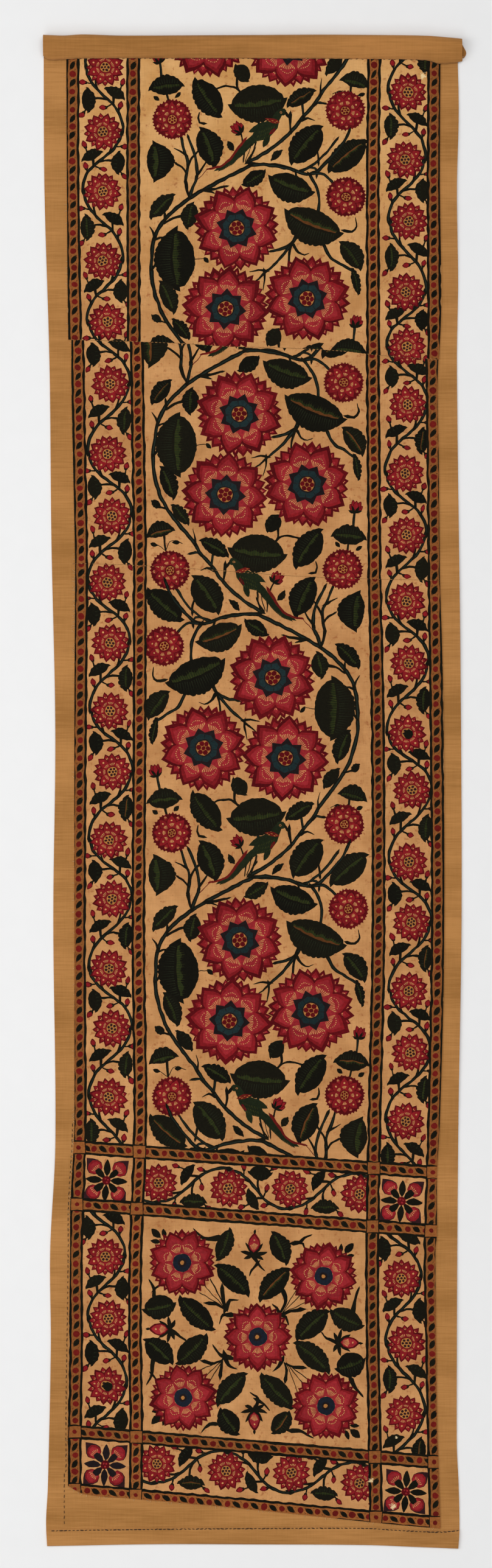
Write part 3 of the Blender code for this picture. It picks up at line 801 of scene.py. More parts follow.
    def sprig(self, foot, heading):
        """Lays three little leaves on fine stalks."""
        for s, reach, half in ((-0.62, 17, 2.7), (0.0, 23, 4.2), (0.62, 17, 2.6)):
            toward = np.exp(1j * (heading + s))
            self.line("leaf", foot + toward * np.array((0.0, 0.3, 0.6)) * reach, 0.8)
            self.lay("leaf", lens(foot + 0.35 * reach * toward, foot + reach * toward, half))


def place(points, centre, mirrored):
    """Points of a unit as they lie on the cloth, where the branch sways down the field."""
    points = np.asarray(points, dtype=complex)
    points = centre + (-points.conjugate() if mirrored else points)
    return points + smooth_through(FIELD_LEAN, points.imag)


def lay_bird(drawing, centre, mirrored):
    """The long-tailed bird that sits on each branch."""

    def at(*points):
        """Places of the bird, on the cloth."""
        return place([complex(x, y) for x, y in points], centre, mirrored)

    def along(*points):
        """A smooth line of the bird, on the cloth."""
        return smooth_path(at(*points), 1.6)

    tail = along((8, -110), (14, -115), (21, -123), (28, -131), (35, -138), (46, -144))
    widths = np.linspace(8.5, 3.6, len(tail))
    drawing.line("bird", tail, widths)
    flip = 1 if mirrored else -1
    for k in range(3, len(tail) - 1):
        travel = (tail[k] - tail[k - 1]) / abs(tail[k] - tail[k - 1])
        root = tail[k] + flip * 0.45j * widths[k] * travel
        drawing.lay("bird", sliver(root, root + flip * 1.6j * travel + 3.0 * travel, 1.8))
    band = along((18, -111), (23, -118), (28, -125), (35, -135), (44, -141), (57, -144))
    drawing.line("dot", band, np.linspace(3.4, 2.0, len(band)))
    drawing.line("crimson", along((57, -144), (62, -150), (68, -157)), 0.8)
    drawing.line("leaf", along((6, -114), (8, -124), (11, -134)), 2.0)
    drawing.line("leaf", along((11, -116), (13, -126), (16, -135)), 1.0)
    # The body, part by part. Columns: dye, one end, the other end, half width.
    for dye, first, last, half in (
        ("bird", (-20, -88), (12, -113), 9.0),
        ("bird", (-9, -104), (-3, -120), 3.6),
        ("bird", (-9, -92), (15, -103), 4.6),
        ("bird", (-11, -95), (-22, -76), 4.8),
        ("bird", (-27, -82), (-17, -78), 4.2),
        ("leaf", (-25, -79), (-30, -88), 1.7),
        ("dot", (-20, -92), (-3, -88), 2.6),
        ("crimson", (-15, -98), (-9, -106), 1.8),
    ):
        drawing.lay(dye, lens(*at(first, last), half))
    for x, y in ((-17, -91), (-15, -92), (-12, -90), (-9, -91), (-7, -89)):
        drawing.lay("ochre", sliver(at((x, y))[0], at((x + 2.4, y + 0.6))[0], 1.0))
    for k in range(21):
        x, y = -14.0 + 2.7 * (k % 7) + 1.2 * (k // 7), -96.0 - 1.0 * (k % 7) - 4.6 * (k // 7)
        drawing.lay("olive", sliver(at((x, y))[0], at((x + 1.8, y - 3.4))[0], 0.9))
    eye = at((-20.6, -80.6))[0]
    drawing.lay("ochre", disc(eye, 1.3, 7))
    drawing.lay("ink", disc(eye, 0.8, 6))


def lay_unit(drawing, y, mirrored, sizes):
    """One unit of the field's branch, with its rosettes, leaves, buds and bird."""
    centre = complex(FIELD_MIDDLE, y)

    def at(x, y):
        """A place of the unit, on the cloth."""
        return place([complex(x, y)], centre, mirrored)[0]

    for first_width, last_width, through in UNIT_STEMS:
        points = place([complex(*spot) for spot in through], centre, mirrored)
        drawing.stem(points, first_width, last_width)
    for x0, y0, x1, y1, left, right in UNIT_LEAVES:
        bulges = (right, left) if mirrored else (left, right)
        drawing.leaf(at(x0, y0), at(x1, y1), *bulges)
    for x, y0, turn in UNIT_SEEDS:
        drawing.seed(at(x, y0), math.pi - turn if mirrored else turn)
    for x, y0, heading in UNIT_BUDS:
        toward = math.radians(180 - heading if mirrored else heading)
        drawing.open_bud(at(x, y0), toward, OPEN_BUD_SIZE)
    lay_bird(drawing, centre, mirrored)
    for rosettes, rings, radius in (
        (UNIT_LARGE, LARGE_RINGS, sizes.large_rosette),
        (UNIT_MEDIUM, MEDIUM_RINGS, sizes.medium_rosette),
    ):
        for x, y0, turn in rosettes:
            if mirrored and (x, y0, turn) == UNIT_MEDIUM[0]:
                y0 += MEDIUM_RISE
            drawing.rosette(rings, at(x, y0), radius / MM, turn)


def lay_strip(drawing, rosettes, sizes, first_side=-1):
    """A strip's waving vine with its rosettes, and a knot of leaves between each two."""
    points = [complex(x, y) for x, y in rosettes]
    points = [2 * points[0] - points[1]] + points + [2 * points[-1] - points[-2]]
    for k, (a, b) in enumerate(zip(points, points[1:])):
        side = -first_side if k % 2 else first_side
        middle, reach = (a + b) / 2, abs(b - a) / 2
        turn = (b - a) / abs(b - a) * 1j
        stretch = reach / KNOT_REACH

        def at(x, y):
            """A place of the knot, on the cloth."""
            return middle + turn * complex(side * x, y * stretch)

        def through(table):
            """Places of a line of the knot, on the cloth."""
            return [at(*spot) for spot in table]

        drawing.stem(through(KNOT_VINE), 2.8, 2.8)
        for first_width, last_width, table in KNOT_STEMS:
            drawing.stem(through(table), first_width, last_width)
        for x0, y0, x1, y1, left, right in KNOT_LEAVES:
            bulges = (left, right) if side > 0 else (right, left)
            drawing.leaf(at(x0, y0), at(x1, y1), *bulges)
        for x, y, heading in KNOT_BUDS:
            toward = turn * np.exp(1j * math.radians(heading if side > 0 else 180 - heading))
            drawing.bud(at(x, y), math.atan2(toward.imag, toward.real), KNOT_BUD_SIZE)
    for k, middle in enumerate(points[1:-1]):
        drawing.rosette(STRIP_RINGS, middle, sizes.strip_rosette / MM, 0.11 * k)
        if (middle.real, middle.imag) in SMUDGED:
            drawing.lay("leaf", disc(middle + 1.5 - 1j, 5.4, 9))


def lay_guard(drawing, path, sizes):
    """A guard band: an ochre stripe of dots and leaves between two dark lines."""
    width = sizes.guard_band / MM
    pitch = sizes.guard_pitch / MM
    travel = np.gradient(path)
    travel = travel / np.abs(travel)
    drawing.line("guard", path, width - 1.5)
    length = np.concatenate(([0.0], np.cumsum(np.abs(np.diff(path)))))
    at = drawing.chance.uniform(0.2, 0.8) * pitch
    while at < length[-1]:
        here = complex(np.interp(at, length, path.real), np.interp(at, length, path.imag))
        toward = travel[min(np.searchsorted(length, at), len(path) - 1)]
        sideways = 1j * toward
        dot = drawing.chance.uniform(3.2, 3.9)
        drawing.lay("dot", disc(here + drawing.chance.uniform(-0.5, 0.5) * sideways, dot, 9))
        middle = here + toward * pitch * 0.5
        arm = (toward - 0.6 * sideways) * 4.9
        drawing.lay("leaf", lens(middle - arm, middle + arm, 2.9))
        for share, offset, bend in GUARD_CURLS:
            foot = here + toward * pitch * share + sideways * offset
            tip = foot + 2.6 * toward * bend + 1.4 * sideways * -math.copysign(1, offset)
            drawing.lay("curl", sliver(foot, tip, 1.0))
        at += pitch * drawing.chance.uniform(0.94, 1.06)
    for side in (-1, 1):
        wander = 0.35 * ripple(path.real, path.imag, 40.0, 11 + side)
        edge = path + 1j * travel * side * (width / 2 - 1.1 + wander)
        swell = 1 + 0.35 * ripple(path.real, path.imag, 13.0, 17 + side)
        drawing.line("leaf", edge, sizes.guard_line / MM * swell)


def lay_corner_square(drawing, centre, dark):
    """The flower of four wide petals and four narrow leaves in a corner square."""
    turn = np.exp(-1j * CORNER_TURN)
    for k in range(4):
        toward = 1j**k * turn
        drawing.lay(dark, centre + lens(4.2 * toward, 23.8 * toward, 4.0))
        corner = toward * np.exp(0.25j * math.pi)
        # A petal is laid in three dyes. Columns: dye, places of one half of its outline.
        for dye, form in (
            ("shade", ((12, 3), (14, 6.5), (19, 9), (24, 7.8), (28, 4.8), (33.5, 0))),
            ("madder", ((12, 3), (14, 6.2), (19, 8.2), (23.5, 6.8), (27, 2.6))),
            ("rose", ((13, 2.6), (15, 5), (19, 6), (22.5, 5), (25, 2))),
        ):
            half = np.array([complex(x, y) for x, y in form])
            drawing.lay(dye, centre + corner * np.concatenate((half.conjugate(), half[::-1])))
        for s in np.linspace(-1, 1, 6):
            start = corner * complex(20.5 - 1.5 * abs(s), 5.2 * s)
            drawing.lay("cream", centre + sliver(start, corner * complex(15.5, 2.6 * s), 0.8))
        calyx = np.array((4 + 1.2j, 9 + 3.4j, 13.5 + 3.9j, 16.5 + 2.6j))
        drawing.lay(dark, centre + corner * np.concatenate((calyx.conjugate(), calyx[::-1])))
    drawing.lay("crimson", disc(centre, 5.0, 10))
    for spot in (1.6 + 1j, -1.4 + 1.6j, 0.4 - 2j):
        drawing.lay("rose", disc(centre + spot, 1.1, 6))


def guard_paths(table, top, bottom):
    """The four guard bands of one length of cloth, from the left to the right."""
    y = np.arange(top, bottom, -3.0)
    paths = []
    for column in range(1, 5):
        centres = [(row[0], row[column]) for row in table]
        paths.append(smooth_through(centres, y) + 1j * y)
    return paths


def draw_length(name, sizes):
    """The print of one length of cloth, from the first dye laid to the last."""
    seed, table, top, bottom, _ = LENGTHS[name]
    drawing = Drawing(seed)
    guards = guard_paths(table, top, bottom)
    foot = CROSS_GUARDS[0] if name == "printed_lower" else (bottom, 0.0)
    lines = ((top, 0.0), foot)
    for y, mirrored in FIELD_UNITS[name]:
        lay_unit(drawing, y, mirrored, sizes)
    drawing.confine(0, guards[1:3], lines)
    for strip, sides in ((LEFT_STRIP, guards[:2]), (RIGHT_STRIP, guards[2:])):
        first = len(drawing.shapes)
        lay_strip(drawing, strip, sizes)
        drawing.confine(first, sides, lines)
    if name == "printed_lower":
        lay_foot(drawing, guards, sizes)
    for path in guards:
        lay_guard(drawing, path, sizes)
    if name == "printed_lower":
        lay_crossings(drawing, guards, sizes)
    return drawing


def cross_path(y, fall):
    """The centre line of a band that runs across the cloth."""
    x = np.arange(-212.0, 215.0, 3.0)
    return x + 1j * (y - fall * x)


def lay_foot(drawing, guards, sizes):
    """The foot of the print: side strips, two cross strips and the end panel between them."""
    for strip, first_side, sides, lines in (
        (LEFT_FOOT_STRIP, 1, guards[:2], CROSS_GUARDS[1:3]),
        (RIGHT_FOOT_STRIP, 1, guards[2:], CROSS_GUARDS[1:3]),
        (UPPER_CROSS_STRIP, -1, guards[1:3], CROSS_GUARDS[:2]),
        (LOWER_CROSS_STRIP, -1, guards[1:3], CROSS_GUARDS[2:]),
    ):
        first = len(drawing.shapes)
        lay_strip(drawing, strip, sizes, first_side)
        drawing.confine(first, sides, lines)
    lay_panel(drawing, sizes)


def lay_panel(drawing, sizes):
    """The end panel: five rosettes among leaves, buds and sprigs."""
    for first_width, last_width, through in PANEL_STEMS:
        points = [complex(*spot) for spot in through]
        drawing.stem(points, TWIG_WEIGHT * first_width, TWIG_WEIGHT * last_width)
    for x0, y0, *ends in PANEL_FANS:
        for x1, y1 in zip(ends[::2], ends[1::2]):
            drawing.stem((complex(x0, y0), complex(x1, y1)), 0.8, 0.8)
    for x0, y0, x1, y1, left, right in PANEL_LEAVES:
        drawing.leaf(complex(x0, y0), complex(x1, y1), left, right)
    for x, y0, heading in PANEL_BUDS:
        drawing.sepal_bud(complex(x, y0), math.radians(heading), SEPAL_BUD_SIZE)
    for x, y0, heading in PANEL_SPRIGS:
        drawing.sprig(complex(x, y0), math.radians(heading))
    for k, (x, y0) in enumerate(PANEL_ROSETTES):
        drawing.rosette(PANEL_RINGS, complex(x, y0), sizes.panel_rosette / MM, 0.2 * k)


def lay_crossings(drawing, guards, sizes):
    """The cross guards, the corner squares and the boxes where two guards cross."""
    for x, y, dark in CORNER_SQUARES:
        lay_corner_square(drawing, complex(x, y), dark)
    for y, fall in CROSS_GUARDS:
        lay_guard(drawing, cross_path(y, fall), sizes)
    half = sizes.guard_band / MM / 2
    for path in guards:
        for y, fall in CROSS_GUARDS:
            x = path.real[np.argmin(np.abs(path.imag - y))]
            centre = complex(x, y - fall * x)
            box = np.array((-1 - 1j, 1 - 1j, 1 + 1j, -1 + 1j)) * (half - 0.6)
            drawing.lay("guard", centre + box)
            drawing.lay("dot", disc(centre, 2.6, 8))
            loop = np.concatenate((box, box[:1]))
            for first, last in zip(loop, loop[1:]):
                edge = centre + np.array((first, (first + last) / 2, last))
                drawing.line("leaf", edge, 1.0)


def inside(outline, places):
    """Which places lie inside an outline."""
    x, y = places.real[:, None], places.imag[:, None]
    x0, y0 = outline.real, outline.imag
    x1, y1 = np.roll(x0, -1), np.roll(y0, -1)
    straddles = (y0 > y) != (y1 > y)
    rise = np.where(y1 == y0, 1.0, y1 - y0)
    crossing = x0 + (y - y0) * (x1 - x0) / rise
    return np.count_nonzero(straddles & (x < crossing), axis=1) % 2 == 1


def edges_of(name):
    """The upper, lower, left and right edge of one printed length, as functions of x or of y."""
    half = PIECE_GAP / 2
    upper, lower, left, right = {
        "printed_top": (below_sleeve, line_of(FIRST_SEAM, half), TOP_LEFT, TOP_RIGHT),
        "printed_middle": (
            line_of(FIRST_SEAM, -half), line_of(SECOND_SEAM, half), MIDDLE_LEFT, MIDDLE_RIGHT,
        ),
        "printed_lower": (
            line_of(SECOND_SEAM, -half), line_of(SLANTING_EDGE), LOWER_LEFT, LOWER_RIGHT,
        ),
    }[name]
    return upper, lower, line_of(left), line_of(right)


def outline_of(edges, step):
    """The loop of places round a length of cloth, a step or so apart, and its four sides."""
    upper, lower, left, right = edges

    def meet(line, side):
        """The corner where a line across meets a side."""
        x, y = float(side(0.0)), 0.0
        for _ in range(6):
            y = float(line(x))
            x = float(side(y))
        return x, y

    corners = [meet(upper, left), meet(upper, right), meet(lower, right), meet(lower, left)]
    (x0, y0), (x1, y1), (x2, y2), (x3, y3) = corners
    across, down = int((x1 - x0) / step), int((y0 - y3) / step)
    x = np.linspace(x0, x1, across + 1)
    top = x + 1j * upper(x)
    y = np.linspace(y1, y2, down + 1)
    right_side = right(y) + 1j * y
    x = np.linspace(x2, x3, across + 1)
    foot = x + 1j * lower(x)
    y = np.linspace(y3, y0, down + 1)
    left_side = left(y) + 1j * y
    loop = np.concatenate((top[:-1], right_side[:-1], foot[:-1], left_side[:-1]))
    return loop, (top, right_side, foot, left_side)


def print_relief(x, y):
    """How far the printed cloth stands above its own flat level, apart from the rises."""
    soft = 0.16 * (1 + ripple(x, y, 34.0, 3)) + crease_height(x, y)
    for seam in (FIRST_SEAM, SECOND_SEAM):
        away = np.abs(y - smooth_through(seam, x))
        pull = 0.75 + 0.25 * np.sin(x * math.tau / 7.5 + 1.5 * np.sin(x / 31.0))
        soft = soft + 0.42 * pull * np.exp(-((away - 2.2) / 2.4) ** 2)
    return soft * np.clip((seam_line(x) - 6.0 - y) / 14.0, 0.0, 1.0)


def backing_relief(x, y):
    """How far the backing's bare margins cockle above its flat level."""
    margin = np.clip((np.abs(x) - 212.0) / 6.0, 0.0, 1.0)
    below = np.clip((-792.0 - y) / 12.0, 0.0, 1.0) * np.clip((160.0 - x) / 60.0, 0.0, 1.0)
    cockle = 0.5 + 0.5 * np.sin(y * math.tau / 17.0 + 2.2 * np.sin(y / 23.0) + x / 40.0)
    strength = 0.30 * (1 + ripple(x, y, 90.0, 8))
    return np.maximum(margin, below * 0.6) * strength * cockle


def slab_mesh(name, tops, faces, bottoms, base_faces, rim):
    """A closed slab: an upper skin, a lower skin and the rim between their matching loops."""
    count = len(tops)
    points = np.vstack((tops, bottoms)) * MM
    under = [tuple(count + k for k in reversed(face)) for face in base_faces]
    upper_loop, lower_loop = rim
    walls = []
    for k in range(len(upper_loop)):
        n = (k + 1) % len(upper_loop)
        a, b = upper_loop[k], upper_loop[n]
        walls.append((a, count + lower_loop[k], count + lower_loop[n], b))
    mesh = bpy.data.meshes.new(name)
    mesh.from_pydata(points.tolist(), [], list(faces) + under + walls)
    mesh.shade_smooth()
    mesh.set_sharp_from_angle(angle=math.radians(40))
    return mesh


def map_flat(mesh, upper_faces):
    """Gives a slab a flat UV map: its upper skin on the left, its lower skin on the right."""
    places = np.empty(len(mesh.vertices) * 3)
    mesh.vertices.foreach_get("co", places)
    places = places.reshape(-1, 3)
    corners = np.empty(len(mesh.loops), dtype=int)
    mesh.loops.foreach_get("vertex_index", corners)
    counts = np.empty(len(mesh.polygons), dtype=int)
    mesh.polygons.foreach_get("loop_total", counts)
    low, high = places.min(axis=0), places.max(axis=0)
    span = max(high[1] - low[1], 2.1 * (high[0] - low[0]))
    spots = (places[corners, :2] - low[:2]) / span * 0.98 + 0.01
    face_of = np.repeat(np.arange(len(counts)), counts)
    spots[face_of >= upper_faces, 0] += 0.5
    layer = mesh.uv_layers.new(name="OFBake")
    layer.data.foreach_set("uv", spots.ravel())


def piece_from(mesh, material, node):
    """The finished object of one cloth: it stands for its node and rides on the panel."""
    piece = bpy.data.objects.new(mesh.name, mesh)
    bpy.context.scene.collection.objects.link(piece)
    mesh.materials.clear()
    mesh.materials.append(material)
    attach(piece, "root")
    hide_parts(node)
    return piece


def boundary_loop(faces):
    """The vertices round the edge of a triangulated skin, in order."""
    faces = np.asarray(faces)
    starts = faces.ravel().astype(np.int64)
    ends = np.roll(faces, -1, axis=1).ravel().astype(np.int64)
    size = starts.max() + 1
    single = ~np.isin(starts * size + ends, ends * size + starts)
    following = dict(zip(starts[single].tolist(), ends[single].tolist()))
    first = min(following)
    loop = [first]
    while following[loop[-1]] != first and len(loop) <= len(following):
        loop.append(following[loop[-1]])
    if len(loop) != single.sum():
        raise RuntimeError("the edge of a printed length isn't one loop")
    return loop


def cut_skin(places, links):
    """A flat triangulation that keeps the given edges, as places and faces."""
    points = [(p.real, p.imag) for p in places]
    found, _, faces, *_ = delaunay_2d_cdt(points, links, [], 0, 1e-5, False)
    return np.array([complex(*p) for p in found]), np.array(faces)


def keep_within(places, faces, loop_parts):
    """The faces whose middles lie between four edges given as places."""
    top, right, foot, left = loop_parts
    middle = places[faces].mean(axis=1)
    x, y = middle.real, middle.imag
    keep = y < np.interp(x, top.real, top.imag)
    keep &= y > np.interp(x, foot.real[::-1], foot.imag[::-1])
    keep &= x < np.interp(y, right.imag[::-1], right.real[::-1])
    keep &= x > np.interp(y, left.imag, left.real)
    return faces[keep]


def paint_faces(drawing, places, faces):
    """The shape that shows on each face: the last one laid over it, or -1 for bare ground."""
    middle = places[faces].mean(axis=1)
    order = np.argsort(middle.imag)
    ordered = middle[order]
    shown = np.full(len(faces), -1)
    for index, (_, _, outline) in enumerate(drawing.shapes):
        first = np.searchsorted(ordered.imag, outline.imag.min())
        last = np.searchsorted(ordered.imag, outline.imag.max())
        x = ordered.real[first:last]
        near = np.nonzero((x > outline.real.min()) & (x < outline.real.max()))[0] + first
        if len(near):
            within = near[inside(outline, ordered[near])]
            shown[order[within]] = index
    return shown


def wobble(points):
    """The small unsteadiness of a hand with a block and a pen."""
    x, y = points.real, points.imag
    drift = 0.75 * (ripple(x, y, 15.0, 41) + 1j * ripple(x, y, 15.0, 42))
    shake = 0.28 * (ripple(x, y, 4.5, 43) + 1j * ripple(x, y, 4.5, 44))
    return points + drift + shake


def steady_shapes(drawing, loop):
    """The drawing's shapes with the hand's wobble, without those that miss the cloth."""
    outlines = [shape[2] for shape in drawing.shapes]
    moved = wobble(np.concatenate(outlines))
    starts = np.cumsum([0] + [len(outline) for outline in outlines])
    low_x, high_x = loop.real.min(), loop.real.max()
    low_y, high_y = loop.imag.min(), loop.imag.max()
    kept = []
    for (dye, depth, _), first, last in zip(drawing.shapes, starts, starts[1:]):
        outline = moved[first:last]
        x, y = outline.real, outline.imag
        if x.max() > low_x and x.min() < high_x and y.max() > low_y and y.min() < high_y:
            kept.append((dye, depth, outline))
    return kept


def loop_links(outlines):
    """The edges of closed outlines whose places are numbered one after another."""
    links, start = [], 0
    for outline in outlines:
        k = np.arange(len(outline))
        links.append(np.column_stack((start + k, start + np.roll(k, -1))))
        start += len(outline)
    return np.concatenate(links)


def visible_links(faces, shown):
    """The edges of a skin that part two dyes."""
    sides = np.sort(np.concatenate((faces[:, :2], faces[:, 1:], faces[:, ::2])), axis=1)
    owner = np.tile(shown, 3)
    order = np.lexsort((sides[:, 1], sides[:, 0]))
    sides, owner = sides[order], owner[order]
    parted = np.all(sides[1:] == sides[:-1], axis=1) & (owner[1:] != owner[:-1])
    return sides[:-1][parted]


def thin_links(places, links, slack):
    """Joins edges end to end where the place between them adds nothing to the shape."""
    beside = {}
    for a, b in links.tolist():
        beside.setdefault(a, []).append(b)
        beside.setdefault(b, []).append(a)
    for middle in list(beside):
        if len(beside[middle]) != 2:
            continue
        a, b = beside[middle]
        run = places[b] - places[a]
        if a == b or b in beside[a] or abs(run) > 9.0 or not run:
            continue
        off = abs(((places[middle] - places[a]) * run.conjugate()).imag) / abs(run)
        if off < slack:
            beside[a][beside[a].index(middle)] = b
            beside[b][beside[b].index(middle)] = a
            del beside[middle]
    return np.array([(a, b) for a, ends in beside.items() for b in ends if a < b])


def printed_mesh(name, sizes, dyes):
    """One length of printed cloth, its upper face cut along the edges that show in the print."""
    drawing = draw_length(name, sizes)
    loop, parts = outline_of(edges_of(name), 4.0)
    drawing.shapes = steady_shapes(drawing, loop)
    outlines = [shape[2] for shape in drawing.shapes]
    places, faces = cut_skin(np.concatenate(outlines), loop_links(outlines).tolist())
    kinds = {}
    kind_of = [kinds.setdefault(shape[:2], len(kinds)) for shape in drawing.shapes] + [-1]
    shown = np.array(kind_of)[paint_faces(drawing, places, faces)]
    links = thin_links(places, visible_links(faces, shown), PRINT_SLACK)
    used, links = np.unique(links, return_inverse=True)

    spacing = sizes.grid_spacing / MM
    chance = np.random.default_rng(7)
    columns = np.arange(loop.real.min() + spacing, loop.real.max() - 2, spacing)
    rows = np.arange(loop.imag.min() + spacing, loop.imag.max() - 2, spacing)
    grid = (columns[None, :] + 1j * rows[:, None]).ravel()
    grid = grid + chance.uniform(-0.3, 0.3, len(grid)) + 1j * chance.uniform(-0.3, 0.3, len(grid))
    links = np.concatenate((loop_links([loop]), links.reshape(-1, 2) + len(loop)))
    places, faces = cut_skin(np.concatenate((loop, places[used], grid)), links.tolist())
    faces = keep_within(places, faces, parts)
    used, faces = np.unique(faces, return_inverse=True)
    places, faces = places[used], faces.reshape(-1, 3)
    shown = paint_faces(drawing, places, faces)

    edge = boundary_loop(faces)
    ring = places[edge]
    base_places, base_faces = cut_skin(
        np.concatenate((ring, grid[::3])), loop_links([ring]).tolist()
    )
    base_faces = base_faces[inside_long(ring, base_places[base_faces].mean(axis=1))]
    x, y = places.real, places.imag
    tops = np.column_stack((x, y, lift(x, y) + PRINT_BASE + PRINT_THICK + print_relief(x, y)))
    x, y = base_places.real, base_places.imag
    bottoms = np.column_stack((x, y, lift(x, y) + PRINT_BASE + 0.6 * print_relief(x, y)))
    rim = (edge, list(range(len(ring))))
    mesh = slab_mesh(name, tops, faces.tolist(), bottoms, base_faces.tolist(), rim)
    map_flat(mesh, len(faces))
    colour_faces(mesh, drawing, shown, dyes)
    return mesh


def inside_long(outline, places):
    """Which places lie inside a long outline, a few thousand at a time."""
    return np.concatenate([inside(outline, part) for part in np.array_split(places, 24)])


def colour_faces(mesh, drawing, shown, dyes):
    """Writes each face's dye, and whether it is dyed at all, for the printed cotton to read."""
    chosen = {dye: np.array(getattr(dyes, dye)[:]) for dye in DYE_DEPTHS}
    colours = np.zeros((len(mesh.polygons), 4))
    colours[:, 3] = 1.0
    dyed = np.zeros(len(mesh.polygons))
    laid = np.array([
        chosen[dye] * (1 + DYE_DEPTHS[dye] * depth) for dye, depth, _ in drawing.shapes
    ])
    covered = np.nonzero(shown >= 0)[0]
    colours[covered, :3] = laid[shown[covered]]
    dyed[covered] = 1.0
    layer = mesh.attributes.new("Dye", "FLOAT_COLOR", "FACE")
    layer.data.foreach_set("color", colours.ravel())
    layer = mesh.attributes.new("Dyed", "FLOAT", "FACE")
    layer.data.foreach_set("value", dyed)


def backing_grid(spacing):
    """Rows of places over the backing and its hem, the top row first, each with its height."""
    columns = int(BACKING_ACROSS / spacing)
    across = np.linspace(0.0, 1.0, columns + 1)

    def row_between(upper, lower, share):
        """One row of places, a share of the way down between two lines."""
        # The first x is a guess, which the rounds below make right.
        x = -230.0 + across * 458.0
        for _ in range(4):
            y = upper(x) + (lower(x) - upper(x)) * share
            left, right = smooth_through(BACKING_LEFT, y), smooth_through(BACKING_RIGHT, y)
            x = left + across * (right - left)
        return x + 1j * y

    hem = line_of(HEM_TOP)
    flap_top = line_of(HEM_TOP, -0.5)
    bottom = line_of(BOTTOM_EDGE)
    count = int(BACKING_DOWN / spacing)
    rows = [(row_between(below_sleeve, hem, k / count), BACKING_THICK) for k in range(count + 1)]
    double = 2 * BACKING_THICK + HEM_TURN_GAP
    for share, drop in HEM_FORM:
        rows.append((row_between(flap_top, bottom, share), double + drop))
    return rows


def backing_mesh(spacing):
    """The backing, with its lower end turned up to the face as a hem."""
    rows = backing_grid(spacing)
    width = len(rows[0][0])
    places = np.concatenate([row for row, _ in rows])
    level = np.concatenate([np.full(width, height) for _, height in rows])
    x, y = places.real, places.imag
    floor_gap = lift(x, y)
    tops = np.column_stack((x, y, floor_gap + level + backing_relief(x, y)))
    bottoms = np.column_stack((x, y, floor_gap))
    faces = []
    for j in range(len(rows) - 1):
        for i in range(width - 1):
            a = j * width + i
            faces.append((a, a + width, a + width + 1, a + 1))
    last = (len(rows) - 1) * width
    loop = [last + i for i in range(width)]
    loop += [j * width + width - 1 for j in range(len(rows) - 2, -1, -1)]
    loop += [i for i in range(width - 2, -1, -1)]
    loop += [j * width for j in range(1, len(rows) - 1)]
    mesh = slab_mesh("backing_cloth", tops, faces, bottoms, faces, (loop, loop))
    map_flat(mesh, len(faces))
    return mesh


def sleeve_section(x):
    """The sleeve's outer and inner loops of (y, z) places at one x, from the lip round to it."""
    top = float(smooth_through(HEADING_TOP, x))
    low = float(smooth_through(HEADING_LOW, x)) - 0.35 * abs(math.sin(x * math.pi / GATHER_PITCH))
    puff = float(smooth_through(SLEEVE_PUFF, x))
    seam = float(seam_line(x))
    lip_under = BACKING_THICK + PRINT_THICK + 2 * PIECE_GAP + 0.12
    lip_top = lip_under + SLEEVE_WALL - 0.3
    radius = puff / 2
    crown = top - radius

    def face(share):
        """Height of the face between the lip, at 0, and the crown, at 1."""
        soft = 0.22 * math.sin(share * math.pi) * float(ripple(x, share * 40.0, 46.0, 61))
        tuck = 0.55 * math.exp(-(((x - 119.0 - 5 * share) / 2.4) ** 2)) * math.sin(share * math.pi)
        pull = 0.16 * math.sin(x * math.tau / GATHER_PITCH) * math.exp(-share * 7)
        height = lip_top + (puff - lip_top) * math.sin(share * math.pi / 2) ** 0.8
        return height + soft - tuck + pull * min(share * 9, 1)

    outer = [(low + 0.5, lip_under), (low, lip_under + 0.35), (low + 0.15, lip_top - 0.25)]
    steps = 20
    outer += [(low + (crown - low) * k / steps, face(k / steps)) for k in range(1, steps)]
    nose = [math.radians(90 - 180 * k / 16) for k in range(17)]
    outer += [(crown + radius * math.cos(a), radius + radius * math.sin(a)) for a in nose]
    under = [seam + (crown - seam) * k / 9 for k in range(8, 0, -1)]
    outer += [(y, 0.0) for y in under] + [(seam, 0.0), (seam, lip_under)]

    end = seam + SLEEVE_THROAT
    inner_radius = radius - SLEEVE_WALL
    inner = []
    for k in range(12):
        y = end + (crown - end) * k / 12
        inner.append((y, face((y - low) / (crown - low)) - SLEEVE_WALL))
    inner += [
        (crown + inner_radius * math.cos(a), radius + inner_radius * math.sin(a)) for a in nose
    ]
    inner += [(max(y, end + 0.4), SLEEVE_WALL) for y in under[:-1]] + [(end, SLEEVE_WALL)]
    return outer, inner


def ear_reach(x, y, z, top, depth):
    """How far the loose cloth at the right end reaches out beyond the sleeve."""
    start = SLEEVE_ENDS[1] - 5.0
    if x < start:
        return 0.0
    near = (x - start) / 5.0
    share = min(max((top - y) / depth, 0.0), 1.0)
    layer = math.exp(-((z - 0.6) / 1.5) ** 2) + 0.62 * math.exp(-(((z - 4.6) / 1.0) ** 2))
    return near * near * float(smooth_through(EAR, share)) * min(layer, 1.0)


